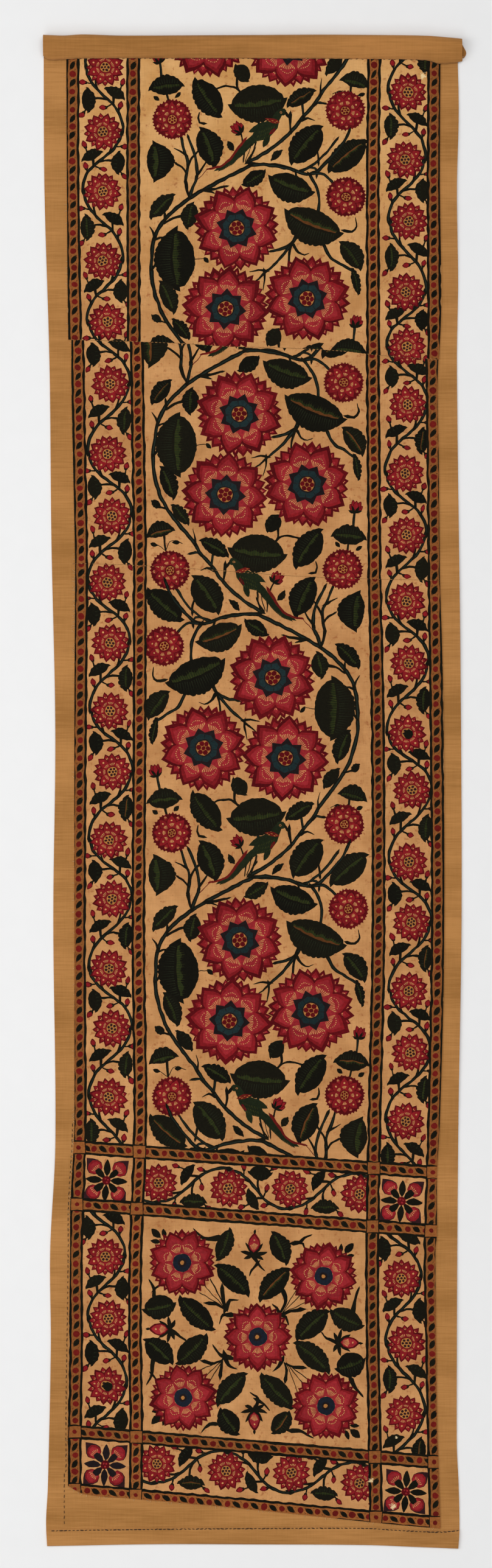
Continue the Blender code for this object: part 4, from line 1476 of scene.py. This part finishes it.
def heading_mesh(stations):
    """The hollow heading sleeve, open at both ends, with an ear of cloth at its right end."""
    first, last = SLEEVE_ENDS
    points, rings = [], []
    for station in range(stations + 1):
        x = first + (last - first) * station / stations
        top = float(smooth_through(HEADING_TOP, x))
        depth = top - float(smooth_through(HEADING_LOW, x))
        ring = []
        for loop in sleeve_section(x):
            start = len(points)
            for y, z in loop:
                points.append(((x + ear_reach(x, y, z, top, depth)) * MM, y * MM, z * MM))
            ring.append(list(range(start, len(points))))
        rings.append(ring)
    faces = []
    for here, there in zip(rings, rings[1:]):
        for a, b, inner in ((here[0], there[0], False), (here[1], there[1], True)):
            for k in range(len(a)):
                n = (k + 1) % len(a)
                quad = (a[k], b[k], b[n], a[n])
                faces.append(tuple(reversed(quad)) if inner else quad)
    for ring, turned in ((rings[0], False), (rings[-1], True)):
        for face in end_faces(ring, points):
            faces.append(tuple(reversed(face)) if turned else face)
    mesh = bpy.data.meshes.new("heading_cloth")
    mesh.from_pydata(points, [], faces)
    mesh.shade_smooth()
    mesh.set_sharp_from_angle(angle=math.radians(50))
    return mesh


def end_faces(ring, points):
    """Triangles that close a sleeve end between its outer and inner loops."""
    outer, inner = ring
    faces, i, j = [], 0, 0

    def distance(a, b):
        """How far two points of the end lie apart, seen along the sleeve."""
        return math.dist(points[a][1:], points[b][1:])

    while i < len(outer) or j < len(inner):
        a, b = outer[i % len(outer)], inner[j % len(inner)]
        next_a, next_b = outer[(i + 1) % len(outer)], inner[(j + 1) % len(inner)]
        along_outer = i < len(outer) and (
            j >= len(inner) or distance(next_a, b) <= distance(a, next_b)
        )
        if along_outer:
            faces.append((a, next_a, b))
            i += 1
        else:
            faces.append((a, next_b, b))
            j += 1
    return faces


def add_node(tree, kind, inputs=None, **settings):
    """Adds a node with its settings, and sets or links its inputs."""
    node = tree.nodes.new(kind)
    for name, value in settings.items():
        setattr(node, name, value)
    for socket, value in (inputs or {}).items():
        if isinstance(value, bpy.types.NodeSocket):
            tree.links.new(value, node.inputs[socket])
        else:
            node.inputs[socket].default_value = value
    return node


def calculate(tree, operation, *values):
    """One step of arithmetic on values or sockets."""
    node = add_node(tree, "ShaderNodeMath", dict(enumerate(values)), operation=operation)
    return node.outputs[0]


def scaled(tree, vector, factor):
    """A colour or a size, times a factor."""
    node = add_node(
        tree, "ShaderNodeVectorMath", {0: vector, "Scale": factor}, operation="SCALE"
    )
    return node.outputs["Vector"]


def stretch(tree, value, low, high, first=0.0, last=1.0, **settings):
    """A value between low and high, carried over to between first and last."""
    return add_node(tree, "ShaderNodeMapRange", {
        "Value": value, "From Min": low, "From Max": high, "To Min": first, "To Max": last,
    }, **settings).outputs["Result"]


def blend(tree, share, start, end):
    """A colour a share of the way from one colour to another."""
    return add_node(tree, "ShaderNodeMix", {
        "Factor": share, "A": start, "B": end,
    }, data_type="RGBA").outputs["Result"]


def noise(tree, place, scale, detail, roughness=0.5):
    """Soft noise over the cloth, with about as many waves in a metre as its scale says."""
    return add_node(tree, "ShaderNodeTexNoise", {
        "Vector": place, "Scale": scale, "Detail": detail, "Roughness": roughness,
    }).outputs["Fac"]


def thread_noise(tree, spot, waves, detail, roughness=0.5):
    """Noise drawn out along the threads, with its waves in a metre along x, y and z."""
    place = add_node(tree, "ShaderNodeMapping", {"Vector": spot, "Scale": waves})
    return noise(tree, place.outputs["Vector"], 1.0, detail, roughness)


def new_material(name, roughness, sheen):
    """A material with the values that cloth keeps, its tree, its shader and its places."""
    material = bpy.data.materials.new(name)
    material.use_nodes = True
    tree = material.node_tree
    shader = tree.nodes["Principled BSDF"]
    for socket, value in (
        ("Roughness", roughness), ("Metallic", 0.0), ("IOR", 1.47), ("Specular IOR Level", 0.1),
        ("Sheen Weight", sheen), ("Sheen Roughness", 0.6),
    ):
        shader.inputs[socket].default_value = value
    return material, tree, shader, add_node(tree, "ShaderNodeTexCoord").outputs["Object"]


def finish_cloth(tree, shader, colour, height, strength, distance):
    """Gives a shader its colour, and bumps its surface by a height."""
    tree.links.new(colour, shader.inputs["Base Color"])
    bump = add_node(tree, "ShaderNodeBump", {
        "Height": height, "Strength": strength, "Distance": distance,
    })
    tree.links.new(bump.outputs["Normal"], shader.inputs["Normal"])


def woven_cotton(name, pale, deep, slub_depth):
    """Plain-woven slubby cotton: thick weft threads give it fine uneven ribs across its width."""
    material, tree, shader, spot = new_material(name, 0.93, 0.08)
    # Slubs about 40 mm long on weft threads 1.9 mm apart; the cloth's own 0.8 mm is too fine.
    weft = thread_noise(tree, spot, (24, 520, 24), 3.0, 0.6)
    warp = thread_noise(tree, spot, (620, 30, 30), 2.0)
    # Soft lighter and darker bands, 60 mm or so across, run along the cloth's width.
    band = thread_noise(tree, spot, (5, 17, 5), 3.0)
    threads = calculate(tree, "MULTIPLY_ADD", warp, 0.25, weft)
    mixed = calculate(tree, "MULTIPLY_ADD", threads, slub_depth, band)
    threads_share = 0.62 * slub_depth
    share = stretch(tree, mixed, 0.32 + threads_share, 0.68 + threads_share)
    colour = blend(tree, share, linear(deep), linear(pale))
    finish_cloth(tree, shader, colour, threads, 0.5, 0.0005)
    return material


def printed_cotton():
    """Fine cotton, block printed and painted: matt dyes sunk in the thread, on a tea-dyed ground."""
    material, tree, shader, spot = new_material("printed and painted cotton", 0.92, 0.02)
    dye = add_node(tree, "ShaderNodeAttribute", attribute_name="Dye").outputs["Color"]
    dyed = add_node(tree, "ShaderNodeAttribute", attribute_name="Dyed").outputs["Fac"]

    # The ground: blotches about 45 mm across, and a foot that has browned more than the head.
    blotch = stretch(tree, noise(tree, spot, 24.0, 5.0, 0.62), 0.36, 0.66)
    axes = add_node(tree, "ShaderNodeSeparateXYZ", {"Vector": spot})
    browning = stretch(
        tree, axes.outputs["Y"], 0.40, 0.82, 1.0, 0.0, interpolation_type="SMOOTHSTEP"
    )
    head = blend(tree, blotch, linear("c59054"), linear("d8a66b"))
    foot = blend(tree, blotch, linear("b47e4c"), linear("cd9660"))
    ground = blend(tree, browning, head, foot)

    # Brown flecks of seed husk and spilt dye, 2 to 4 mm across.
    fleck = stretch(tree, noise(tree, spot, 210.0, 2.0), 0.60, 0.74, 0.0, 0.6)
    flecked = blend(tree, fleck, ground, linear("94502a"))

    # The dyes sank in unevenly: 3 mm mottling, deeper and paler by a fifth.
    sunk = noise(tree, spot, 330.0, 3.0, 0.65)
    sunk_dye = scaled(tree, dye, stretch(tree, sunk, 0.3, 0.7, 0.78, 1.24))
    printed = blend(tree, dyed, flecked, sunk_dye)

    # Threads 1.5 mm apart both ways; the cloth's own 0.4 mm is too fine to show.
    weft = thread_noise(tree, spot, (70, 660, 70), 2.0)
    warp = thread_noise(tree, spot, (660, 70, 70), 2.0)
    threads = calculate(tree, "ADD", weft, warp)
    colour = scaled(tree, printed, stretch(tree, threads, 0.7, 1.3, 0.93, 1.06))

    # The worn places have ragged rims, which follow the mottling.
    for x, y, size in WORN_PLACES:
        reach = size * MM
        away = add_node(tree, "ShaderNodeVectorMath", {
            0: spot, 1: (x * MM, y * MM, 0.003),
        }, operation="DISTANCE")
        ragged = calculate(tree, "MULTIPLY_ADD", sunk, reach * 3.0, away.outputs["Value"])
        share = stretch(tree, ragged, reach * 2.3, reach * 1.9, 0.0, 0.8)
        colour = blend(tree, share, colour, linear("f0d7a4"))
    finish_cloth(tree, shader, colour, threads, 0.35, 0.0004)
    return material


def spun_thread(name, colour, dark):
    """Spun cotton thread: matt, a little uneven in colour along its length."""
    material, tree, shader, spot = new_material(name, 0.85, 0.1)
    # Lighter and darker stretches 5 mm or so long.
    fleck = noise(tree, spot, 200.0, 2.0)
    tone = blend(tree, fleck, linear(dark), linear(colour))
    finish_cloth(tree, shader, tone, fleck, 0.3, 0.0002)
    return material


def new_tree(name, inputs):
    """A Geometry Nodes tree with named inputs, its group input node and its group output node."""
    tree = bpy.data.node_groups.new(name, "GeometryNodeTree")
    tree.interface.new_socket("Geometry", in_out="INPUT", socket_type="NodeSocketGeometry")
    for label, kind, value in inputs:
        socket = tree.interface.new_socket(label, in_out="INPUT", socket_type=kind)
        if value is not None:
            socket.default_value = value
    tree.interface.new_socket("Geometry", in_out="OUTPUT", socket_type="NodeSocketGeometry")
    entry = tree.nodes.new("NodeGroupInput")
    leave = tree.nodes.new("NodeGroupOutput")
    return tree, entry.outputs, leave.inputs


def path_points(tree, given):
    """Points a pitch apart along the tree's path."""
    curve = add_node(tree, "GeometryNodeMeshToCurve", {"Mesh": given["Geometry"]})
    return add_node(tree, "GeometryNodeCurveToPoints", {
        "Curve": curve.outputs["Curve"], "Length": given["Pitch"],
    }, mode="LENGTH").outputs


def random_number(tree, low, high, seed):
    """A number between low and high, another one for each point."""
    node = add_node(tree, "FunctionNodeRandomValue", {2: low, 3: high, "Seed": seed},
                    data_type="FLOAT")
    return node.outputs[1]


def vector_of(tree, **axes):
    """A vector from its axes by name; those left out are nought."""
    return add_node(tree, "ShaderNodeCombineXYZ", axes).outputs["Vector"]


def turned_along(tree, vector, turn, **settings):
    """A rotation that lays X along a vector, and then turns it a little more."""
    along = add_node(tree, "FunctionNodeAlignRotationToVector", {
        "Vector": vector,
    }, axis="X", pivot_axis="Z")
    return add_node(tree, "FunctionNodeRotateRotation", {
        "Rotation": along.outputs["Rotation"], "Rotate By": turn,
    }, **settings).outputs["Rotation"]


def lay_copies(tree, given, result, **placing):
    """Lays a copy of a mesh at each point, in the given material, as the tree's result."""
    placed = add_node(tree, "GeometryNodeInstanceOnPoints", placing)
    real = add_node(tree, "GeometryNodeRealizeInstances", {
        "Geometry": placed.outputs["Instances"],
    })
    smooth = add_node(tree, "GeometryNodeSetShadeSmooth", {"Geometry": real.outputs["Geometry"]})
    finish = add_node(tree, "GeometryNodeSetMaterial", {
        "Geometry": smooth.outputs["Geometry"], "Material": given["Material"],
    })
    tree.links.new(finish.outputs["Geometry"], result["Geometry"])


def stitch_tree():
    """Stitches laid nose to tail along a path, each a slim spindle of thread."""
    tree, given, result = new_tree("Stitches along a path", (
        ("Pitch", "NodeSocketFloat", 0.004), ("Length", "NodeSocketFloat", 0.0025),
        ("Thread", "NodeSocketFloat", 0.0003), ("Sway", "NodeSocketFloat", 0.2),
        ("Material", "NodeSocketMaterial", None),
    ))
    points = path_points(tree, given)
    spindle = add_node(tree, "GeometryNodeMeshUVSphere", {
        "Segments": 6, "Rings": 4, "Radius": 1.0,
    })
    bend = calculate(tree, "SUBTRACT", random_number(tree, 0.0, 1.0, 5), 0.5)
    lean = vector_of(tree, Z=calculate(tree, "MULTIPLY", bend, given["Sway"]))
    half = calculate(tree, "MULTIPLY", given["Length"], 0.5)
    size = vector_of(tree, X=half, Y=given["Thread"], Z=given["Thread"])
    lay_copies(
        tree, given, result, Points=points["Points"], Instance=spindle.outputs["Mesh"],
        Rotation=turned_along(tree, points["Tangent"], lean),
        Scale=scaled(tree, size, random_number(tree, 0.75, 1.2, 9)),
    )
    return tree


def fray_tree():
    """Short loose threads that stick out of a raw edge, curling one way or the other."""
    tree, given, result = new_tree("Frayed threads along an edge", (
        ("Pitch", "NodeSocketFloat", 0.003), ("Length", "NodeSocketFloat", 0.006),
        ("Thread", "NodeSocketFloat", 0.00018), ("Seed", "NodeSocketInt", 1),
        ("Material", "NodeSocketMaterial", None),
    ))
    points = path_points(tree, given)
    strand = add_node(tree, "GeometryNodeCurveQuadraticBezier", {
        "Resolution": 6, "Start": (0.0, 0.0, 0.0), "Middle": (0.5, 0.28, 0.10),
        "End": (1.0, -0.05, 0.0),
    })
    section = add_node(tree, "GeometryNodeCurvePrimitiveCircle", {
        "Resolution": 5, "Radius": 1.0,
    })
    ratio = calculate(tree, "DIVIDE", given["Thread"], given["Length"])
    narrow = add_node(tree, "GeometryNodeTransform", {
        "Geometry": section.outputs["Curve"], "Scale": vector_of(tree, X=ratio, Y=ratio, Z=ratio),
    })
    tube = add_node(tree, "GeometryNodeCurveToMesh", {
        "Curve": strand.outputs["Curve"], "Profile Curve": narrow.outputs["Geometry"],
        "Fill Caps": True,
    })
    outward = add_node(tree, "ShaderNodeVectorMath", {
        0: points["Tangent"], 1: (0.0, 0.0, 1.0),
    }, operation="CROSS_PRODUCT")
    # Half of the threads are rolled over, so that they curl the other way.
    either = calculate(tree, "ROUND", random_number(tree, 0.0, 1.0, 17))
    fan = vector_of(
        tree, X=calculate(tree, "MULTIPLY", either, math.pi),
        Z=random_number(tree, -1.15, 1.15, given["Seed"]),
    )
    lay_copies(
        tree, given, result, Points=points["Points"], Instance=tube.outputs["Mesh"],
        Rotation=turned_along(tree, outward.outputs["Vector"], fan, rotation_space="LOCAL"),
        Scale=calculate(tree, "MULTIPLY", random_number(tree, 0.25, 1.0, 3), given["Length"]),
    )
    return tree


def grow(name, tree, paths, values):
    """Runs a tree over paths of places in millimetres and keeps the result as a plain piece."""
    points, edges = [], []
    for path in paths:
        start = len(points)
        points += [(x * MM, y * MM, z * MM) for x, y, z in path]
        edges += [(start + k, start + k + 1) for k in range(len(path) - 1)]
    mesh = bpy.data.meshes.new(name + "_path")
    mesh.from_pydata(points, edges, [])
    guide = bpy.data.objects.new(name + "_path", mesh)
    bpy.context.scene.collection.objects.link(guide)
    modifier = guide.modifiers.new("Grow", "NODES")
    modifier.node_group = tree
    for item in tree.interface.items_tree:
        if item.item_type == "SOCKET" and item.name in values:
            modifier[item.identifier] = values[item.name]
    evaluated = guide.evaluated_get(bpy.context.evaluated_depsgraph_get())
    grown = bpy.data.meshes.new_from_object(evaluated)
    grown.name = name
    guide.modifiers.remove(modifier)
    bpy.data.objects.remove(guide)
    if not len(grown.polygons):
        raise RuntimeError(f"{name}: nothing grew along its path")
    piece = bpy.data.objects.new(name, grown)
    bpy.context.scene.collection.objects.link(piece)
    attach(piece, "root")
    return piece


def above(x, y, height):
    """Places of a thread on the cloth, at a height above its rise."""
    return list(zip(x.tolist(), y.tolist(), (lift(x, y) + height).tolist()))


def along_line(line, first, last, height):
    """Places along a line across the cloth."""
    x = np.arange(first, last, THREAD_STEP)
    return above(x, line(x), height)


def along_seam(seam):
    """Places along a seam, just sunk in the printed cloth's face."""
    x = np.arange(-203.0, 203.0, THREAD_STEP)
    y = smooth_through(seam, x)
    return above(x, y, PRINT_BASE + PRINT_THICK + print_relief(x, y) - 0.1)


def down_edge(table, first, last):
    """Places down a raw edge of the print, near the middle of its thickness."""
    y = np.arange(first, last, -THREAD_STEP)
    return above(smooth_through(table, y) + 0.2, y, 1.95)


def length_property(label, description, default, low, high):
    """A length in metres that the print or the sewing is made with."""
    return FloatProperty(
        name=label, description=description, default=default, min=low, max=high, unit="LENGTH",
    )


def dye_property(label, description, colour):
    """A colour that the print is made with."""
    return FloatVectorProperty(
        name=label, description=description, default=linear(colour)[:3], size=3,
        subtype="COLOR", min=0.0, max=1.0,
    )


class ClothSizes(bpy.types.PropertyGroup):
    """Sizes of the print and of the sewing."""

    large_rosette: length_property(
        "Large rosette", "Radius of the large rosettes in the field", 0.0488, 0.02, 0.08
    )
    medium_rosette: length_property(
        "Medium rosette", "Radius of the smaller rosettes in the field", 0.0230, 0.01, 0.04
    )
    strip_rosette: length_property(
        "Strip rosette", "Radius of the rosettes in the side strips", 0.0217, 0.01, 0.03
    )
    panel_rosette: length_property(
        "End panel rosette", "Radius of the rosettes in the end panel", 0.0384, 0.02, 0.05
    )
    guard_band: length_property(
        "Guard band", "Width of a guard band, over its two dark lines", 0.0150, 0.008, 0.03
    )
    guard_line: length_property(
        "Guard line", "Width of a guard band's dark lines", 0.0028, 0.001, 0.005
    )
    guard_pitch: length_property(
        "Guard pitch", "Distance from one dot of a guard band to the next", 0.0196, 0.01, 0.04
    )
    grid_spacing: length_property(
        "Cloth grid", "Spacing of the points that carry the cloth's relief", 0.0055, 0.003, 0.02
    )
    thread: length_property(
        "Thread", "Half thickness of the sewing thread", 0.0004, 0.0001, 0.001
    )
    sleeve_stations: IntProperty(
        name="Sleeve stations", description="Cross-sections along the heading sleeve",
        default=260, min=40, max=400,
    )


class PrintDyes(bpy.types.PropertyGroup):
    """Colours of the print."""

    crimson: dye_property("Crimson", "Tips and outlines of the petals", "55070d")
    madder: dye_property("Madder", "Outer part of the petals", "7c161b")
    rose: dye_property("Rose", "Body of the petals", "8f2328")
    cream: dye_property("Cream", "Fine resist lines and dots in the petals", "c68d57")
    leaf: dye_property("Leaf", "Black-green of leaves, vines and lines", "110f06")
    rib: dye_property("Rib", "Faint ribs in the leaves", "1c2012")
    moss: dye_property("Moss", "Light band beside a leaf's midrib", "20270f")
    olive: dye_property("Olive", "Lightest ribs of the leaves", "2e3112")
    stem: dye_property("Stem", "Green heart of the stems", "1a231d")
    teal: dye_property("Teal", "Blue petals round a rosette's heart", "192829")
    star: dye_property("Star", "Dark star round a rosette's heart", "1b1314")
    ink: dye_property("Ink", "Dark heart of the end panel's rosettes", "171c26")
    ochre: dye_property("Ochre", "Hearts of the rosettes", "a96f37")
    guard: dye_property("Guard ochre", "Ground of the guard bands", "8a5227")
    dot: dye_property("Guard dot", "Dots of the guard bands", "651510")
    curl: dye_property("Curl", "Thin curls in the guard bands", "5a3416")
    bird: dye_property("Bird", "Body of the birds", "1a2110")
    shade: dye_property("Shade", "Corners of the corner squares' petals", "2c1517")


class PANEL_OT_stage(bpy.types.Operator):
    """Sets up the camera, the pale floor and the soft light"""

    bl_idname = "panel.stage"
    bl_label = "Stage"

    def execute(self, context):
        scene = context.scene
        scene.view_settings.view_transform = "Standard"
        camera = bpy.data.cameras.new("Camera")
        camera.lens = SENSOR_WIDTH * CAMERA_HEIGHT / PHOTO_LENGTH
        camera.sensor_width = SENSOR_WIDTH
        camera.clip_end = 50.0
        eye = bpy.data.objects.new("Camera", camera)
        eye.location = (*PHOTO_MIDDLE, CAMERA_HEIGHT)
        scene.collection.objects.link(eye)
        scene.camera = eye

        half = FLOOR_HALF
        mesh = bpy.data.meshes.new("floor")
        mesh.from_pydata(
            [(-half, -half, 0), (half, -half, 0), (half, half, 0), (-half, half, 0)],
            [], [(0, 1, 2, 3)],
        )
        floor = bpy.data.objects.new("floor", mesh)
        scene.collection.objects.link(floor)
        material, tree, shader, spot = new_material("pale matt painted board", 0.9, 0.0)
        # A hint of roller texture, too faint to notice as a pattern.
        tone = blend(tree, noise(tree, spot, 40.0, 2.0), linear("efefef"), linear("f2f2f2"))
        tree.links.new(tone, shader.inputs["Base Color"])
        mesh.materials.append(material)

        world = bpy.data.worlds.new("Studio")
        world.use_nodes = True
        background = world.node_tree.nodes["Background"]
        background.inputs["Color"].default_value = (1.0, 1.0, 1.0, 1.0)
        background.inputs["Strength"].default_value = AMBIENT
        scene.world = world
        for name, strength, softness, tilt in SUNS:
            sun = bpy.data.lights.new(name, "SUN")
            sun.energy = strength
            sun.angle = math.radians(softness)
            lamp = bpy.data.objects.new(name, sun)
            lamp.rotation_euler = (math.radians(tilt), 0.0, math.radians(-14))
            scene.collection.objects.link(lamp)
        fill = bpy.data.lights.new("Fill", "AREA")
        fill.energy = FILL_POWER
        fill.size = 2.0
        side = bpy.data.objects.new("Fill", fill)
        side.location = (-2.2, 0.0, 2.2)
        side.rotation_euler = (0.0, math.radians(-45), 0.0)
        scene.collection.objects.link(side)
        return {"FINISHED"}


class PANEL_OT_backing(bpy.types.Operator):
    """Makes the backing with its turned-up hem"""

    bl_idname = "panel.backing"
    bl_label = "Backing"

    def execute(self, context):
        sizes = context.scene.cloth_sizes
        mesh = backing_mesh(sizes.grid_spacing / MM)
        cotton = woven_cotton("tan slubby plain-woven cotton", "b88249", "9c6b36", 0.62)
        piece = piece_from(mesh, cotton, "backing")
        return {"FINISHED"}


class PANEL_OT_heading(bpy.types.Operator):
    """Makes the heading sleeve at the panel's top"""

    bl_idname = "panel.heading"
    bl_label = "Heading sleeve"

    def execute(self, context):
        mesh = heading_mesh(context.scene.cloth_sizes.sleeve_stations)
        cotton = woven_cotton("tan cotton of the heading", "b77e44", "986732", 0.55)
        piece = piece_from(mesh, cotton, "heading_sleeve")
        return {"FINISHED"}


class PANEL_OT_printed_lengths(bpy.types.Operator):
    """Makes the three lengths of printed cloth, with the print cut into their mesh"""

    bl_idname = "panel.printed_lengths"
    bl_label = "Printed lengths"

    def execute(self, context):
        cotton = printed_cotton()
        for node, (*_, flat) in LENGTHS.items():
            mesh = printed_mesh(node, context.scene.cloth_sizes, context.scene.print_dyes)
            mesh.name = node + "_cloth"
            piece = piece_from(mesh, cotton, node)
        return {"FINISHED"}


class PANEL_OT_sewing(bpy.types.Operator):
    """Sews the hem, the heading, the seams and the lower part of the print's left edge"""

    bl_idname = "panel.sewing"
    bl_label = "Sewing"

    def execute(self, context):
        tree = stitch_tree()
        thread = context.scene.cloth_sizes.thread
        dark = spun_thread("dark spun cotton thread", "4a3018", "1f140c")
        tan = spun_thread("tan spun cotton thread", "b98a52", "7c5328")
        hem = along_line(line_of(HEM_TOP, -1.6), -226.0, 228.0, 2.62)
        heading = along_line(line_of(HEADING_LOW, -0.4), -208.0, 206.0, 2.95)
        seams = [along_seam(FIRST_SEAM), along_seam(SECOND_SEAM)]
        y = np.arange(-372.0, -818.0, -THREAD_STEP)
        x = np.where(y > -760.0, smooth_through(LOWER_LEFT, y) - 2.2, -213.5)
        edge = above(x, y, BACKING_THICK + 0.5)
        for name, paths, pitch, length, weight, cotton in (
            ("edge_stitches", [edge], 0.0058, 0.0042, 1.0, dark),
            ("hem_stitches", [hem], 0.0046, 0.0045, 1.6, dark),
            ("heading_stitches", [heading], 0.0060, 0.0034, 1.0, dark),
            ("seam_stitches", seams, 0.0044, 0.0026, 1.0, tan),
        ):
            grow(name, tree, paths, {
                "Pitch": pitch, "Length": length, "Thread": weight * thread, "Sway": 0.5,
                "Material": cotton,
            })
        return {"FINISHED"}


class PANEL_OT_loose_threads(bpy.types.Operator):
    """Grows the frayed threads along the print's raw edges"""

    bl_idname = "panel.loose_threads"
    bl_label = "Loose threads"

    def execute(self, context):
        tree = fray_tree()
        pale = spun_thread("undyed cotton yarn of the raw edge", "d9b888", "a87c4a")

        left = [
            down_edge(TOP_LEFT, 800.0, 508.0), down_edge(MIDDLE_LEFT, 500.0, 258.0),
            down_edge(LOWER_LEFT, 246.0, -770.0),
        ]
        frayed = [down_edge(LOWER_LEFT, 246.0, 150.0), down_edge(LOWER_LEFT, -340.0, -480.0)]
        foot = [along_line(line_of(SLANTING_EDGE), -206.0, 206.0, 1.9)]
        for name, paths, pitch, length, seed in (
            ("frayed_left_edge", left, 0.0062, 0.0030, 4),
            ("frayed_left_tufts", frayed, 0.0026, 0.0042, 8),
            ("frayed_foot_edge", foot, 0.0048, 0.0032, 2),
        ):
            grow(name, tree, paths, {
                "Pitch": pitch, "Length": length, "Thread": 0.00022, "Seed": seed,
                "Material": pale,
            })
        return {"FINISHED"}


class PANEL_PT_cloth(bpy.types.Panel):
    """The pieces of the panel, in the order that they are made"""

    bl_idname = "PANEL_PT_cloth"
    bl_label = "Kalamkari panel"
    bl_space_type = "VIEW_3D"
    bl_region_type = "UI"
    bl_category = "Panel cloth"

    def draw(self, context):
        layout = self.layout
        for operator in STEPS:
            layout.operator(operator.bl_idname)
        for group in (context.scene.cloth_sizes, context.scene.print_dyes):
            box = layout.box()
            for name in group.bl_rna.properties.keys():
                if name not in ("rna_type", "name"):
                    box.prop(group, name)


STEPS = (
    PANEL_OT_stage, PANEL_OT_backing, PANEL_OT_heading, PANEL_OT_printed_lengths,
    PANEL_OT_sewing, PANEL_OT_loose_threads,
)
CLASSES = (ClothSizes, PrintDyes, *STEPS, PANEL_PT_cloth)


def register():
    """Makes the operators, the sizes and the sidebar panel known to Blender."""
    for each in CLASSES:
        bpy.utils.register_class(each)
    bpy.types.Scene.cloth_sizes = PointerProperty(type=ClothSizes)
    bpy.types.Scene.print_dyes = PointerProperty(type=PrintDyes)


def unregister():
    """Takes them away again."""
    del bpy.types.Scene.print_dyes
    del bpy.types.Scene.cloth_sizes
    for each in reversed(CLASSES):
        bpy.utils.unregister_class(each)


def main():
    """Makes every piece in order."""
    register()
    bpy.ops.panel.stage()
    bpy.ops.panel.backing()
    bpy.ops.panel.heading()
    bpy.ops.panel.printed_lengths()
    bpy.ops.panel.sewing()
    bpy.ops.panel.loose_threads()


if __name__ == "__main__":
    main()
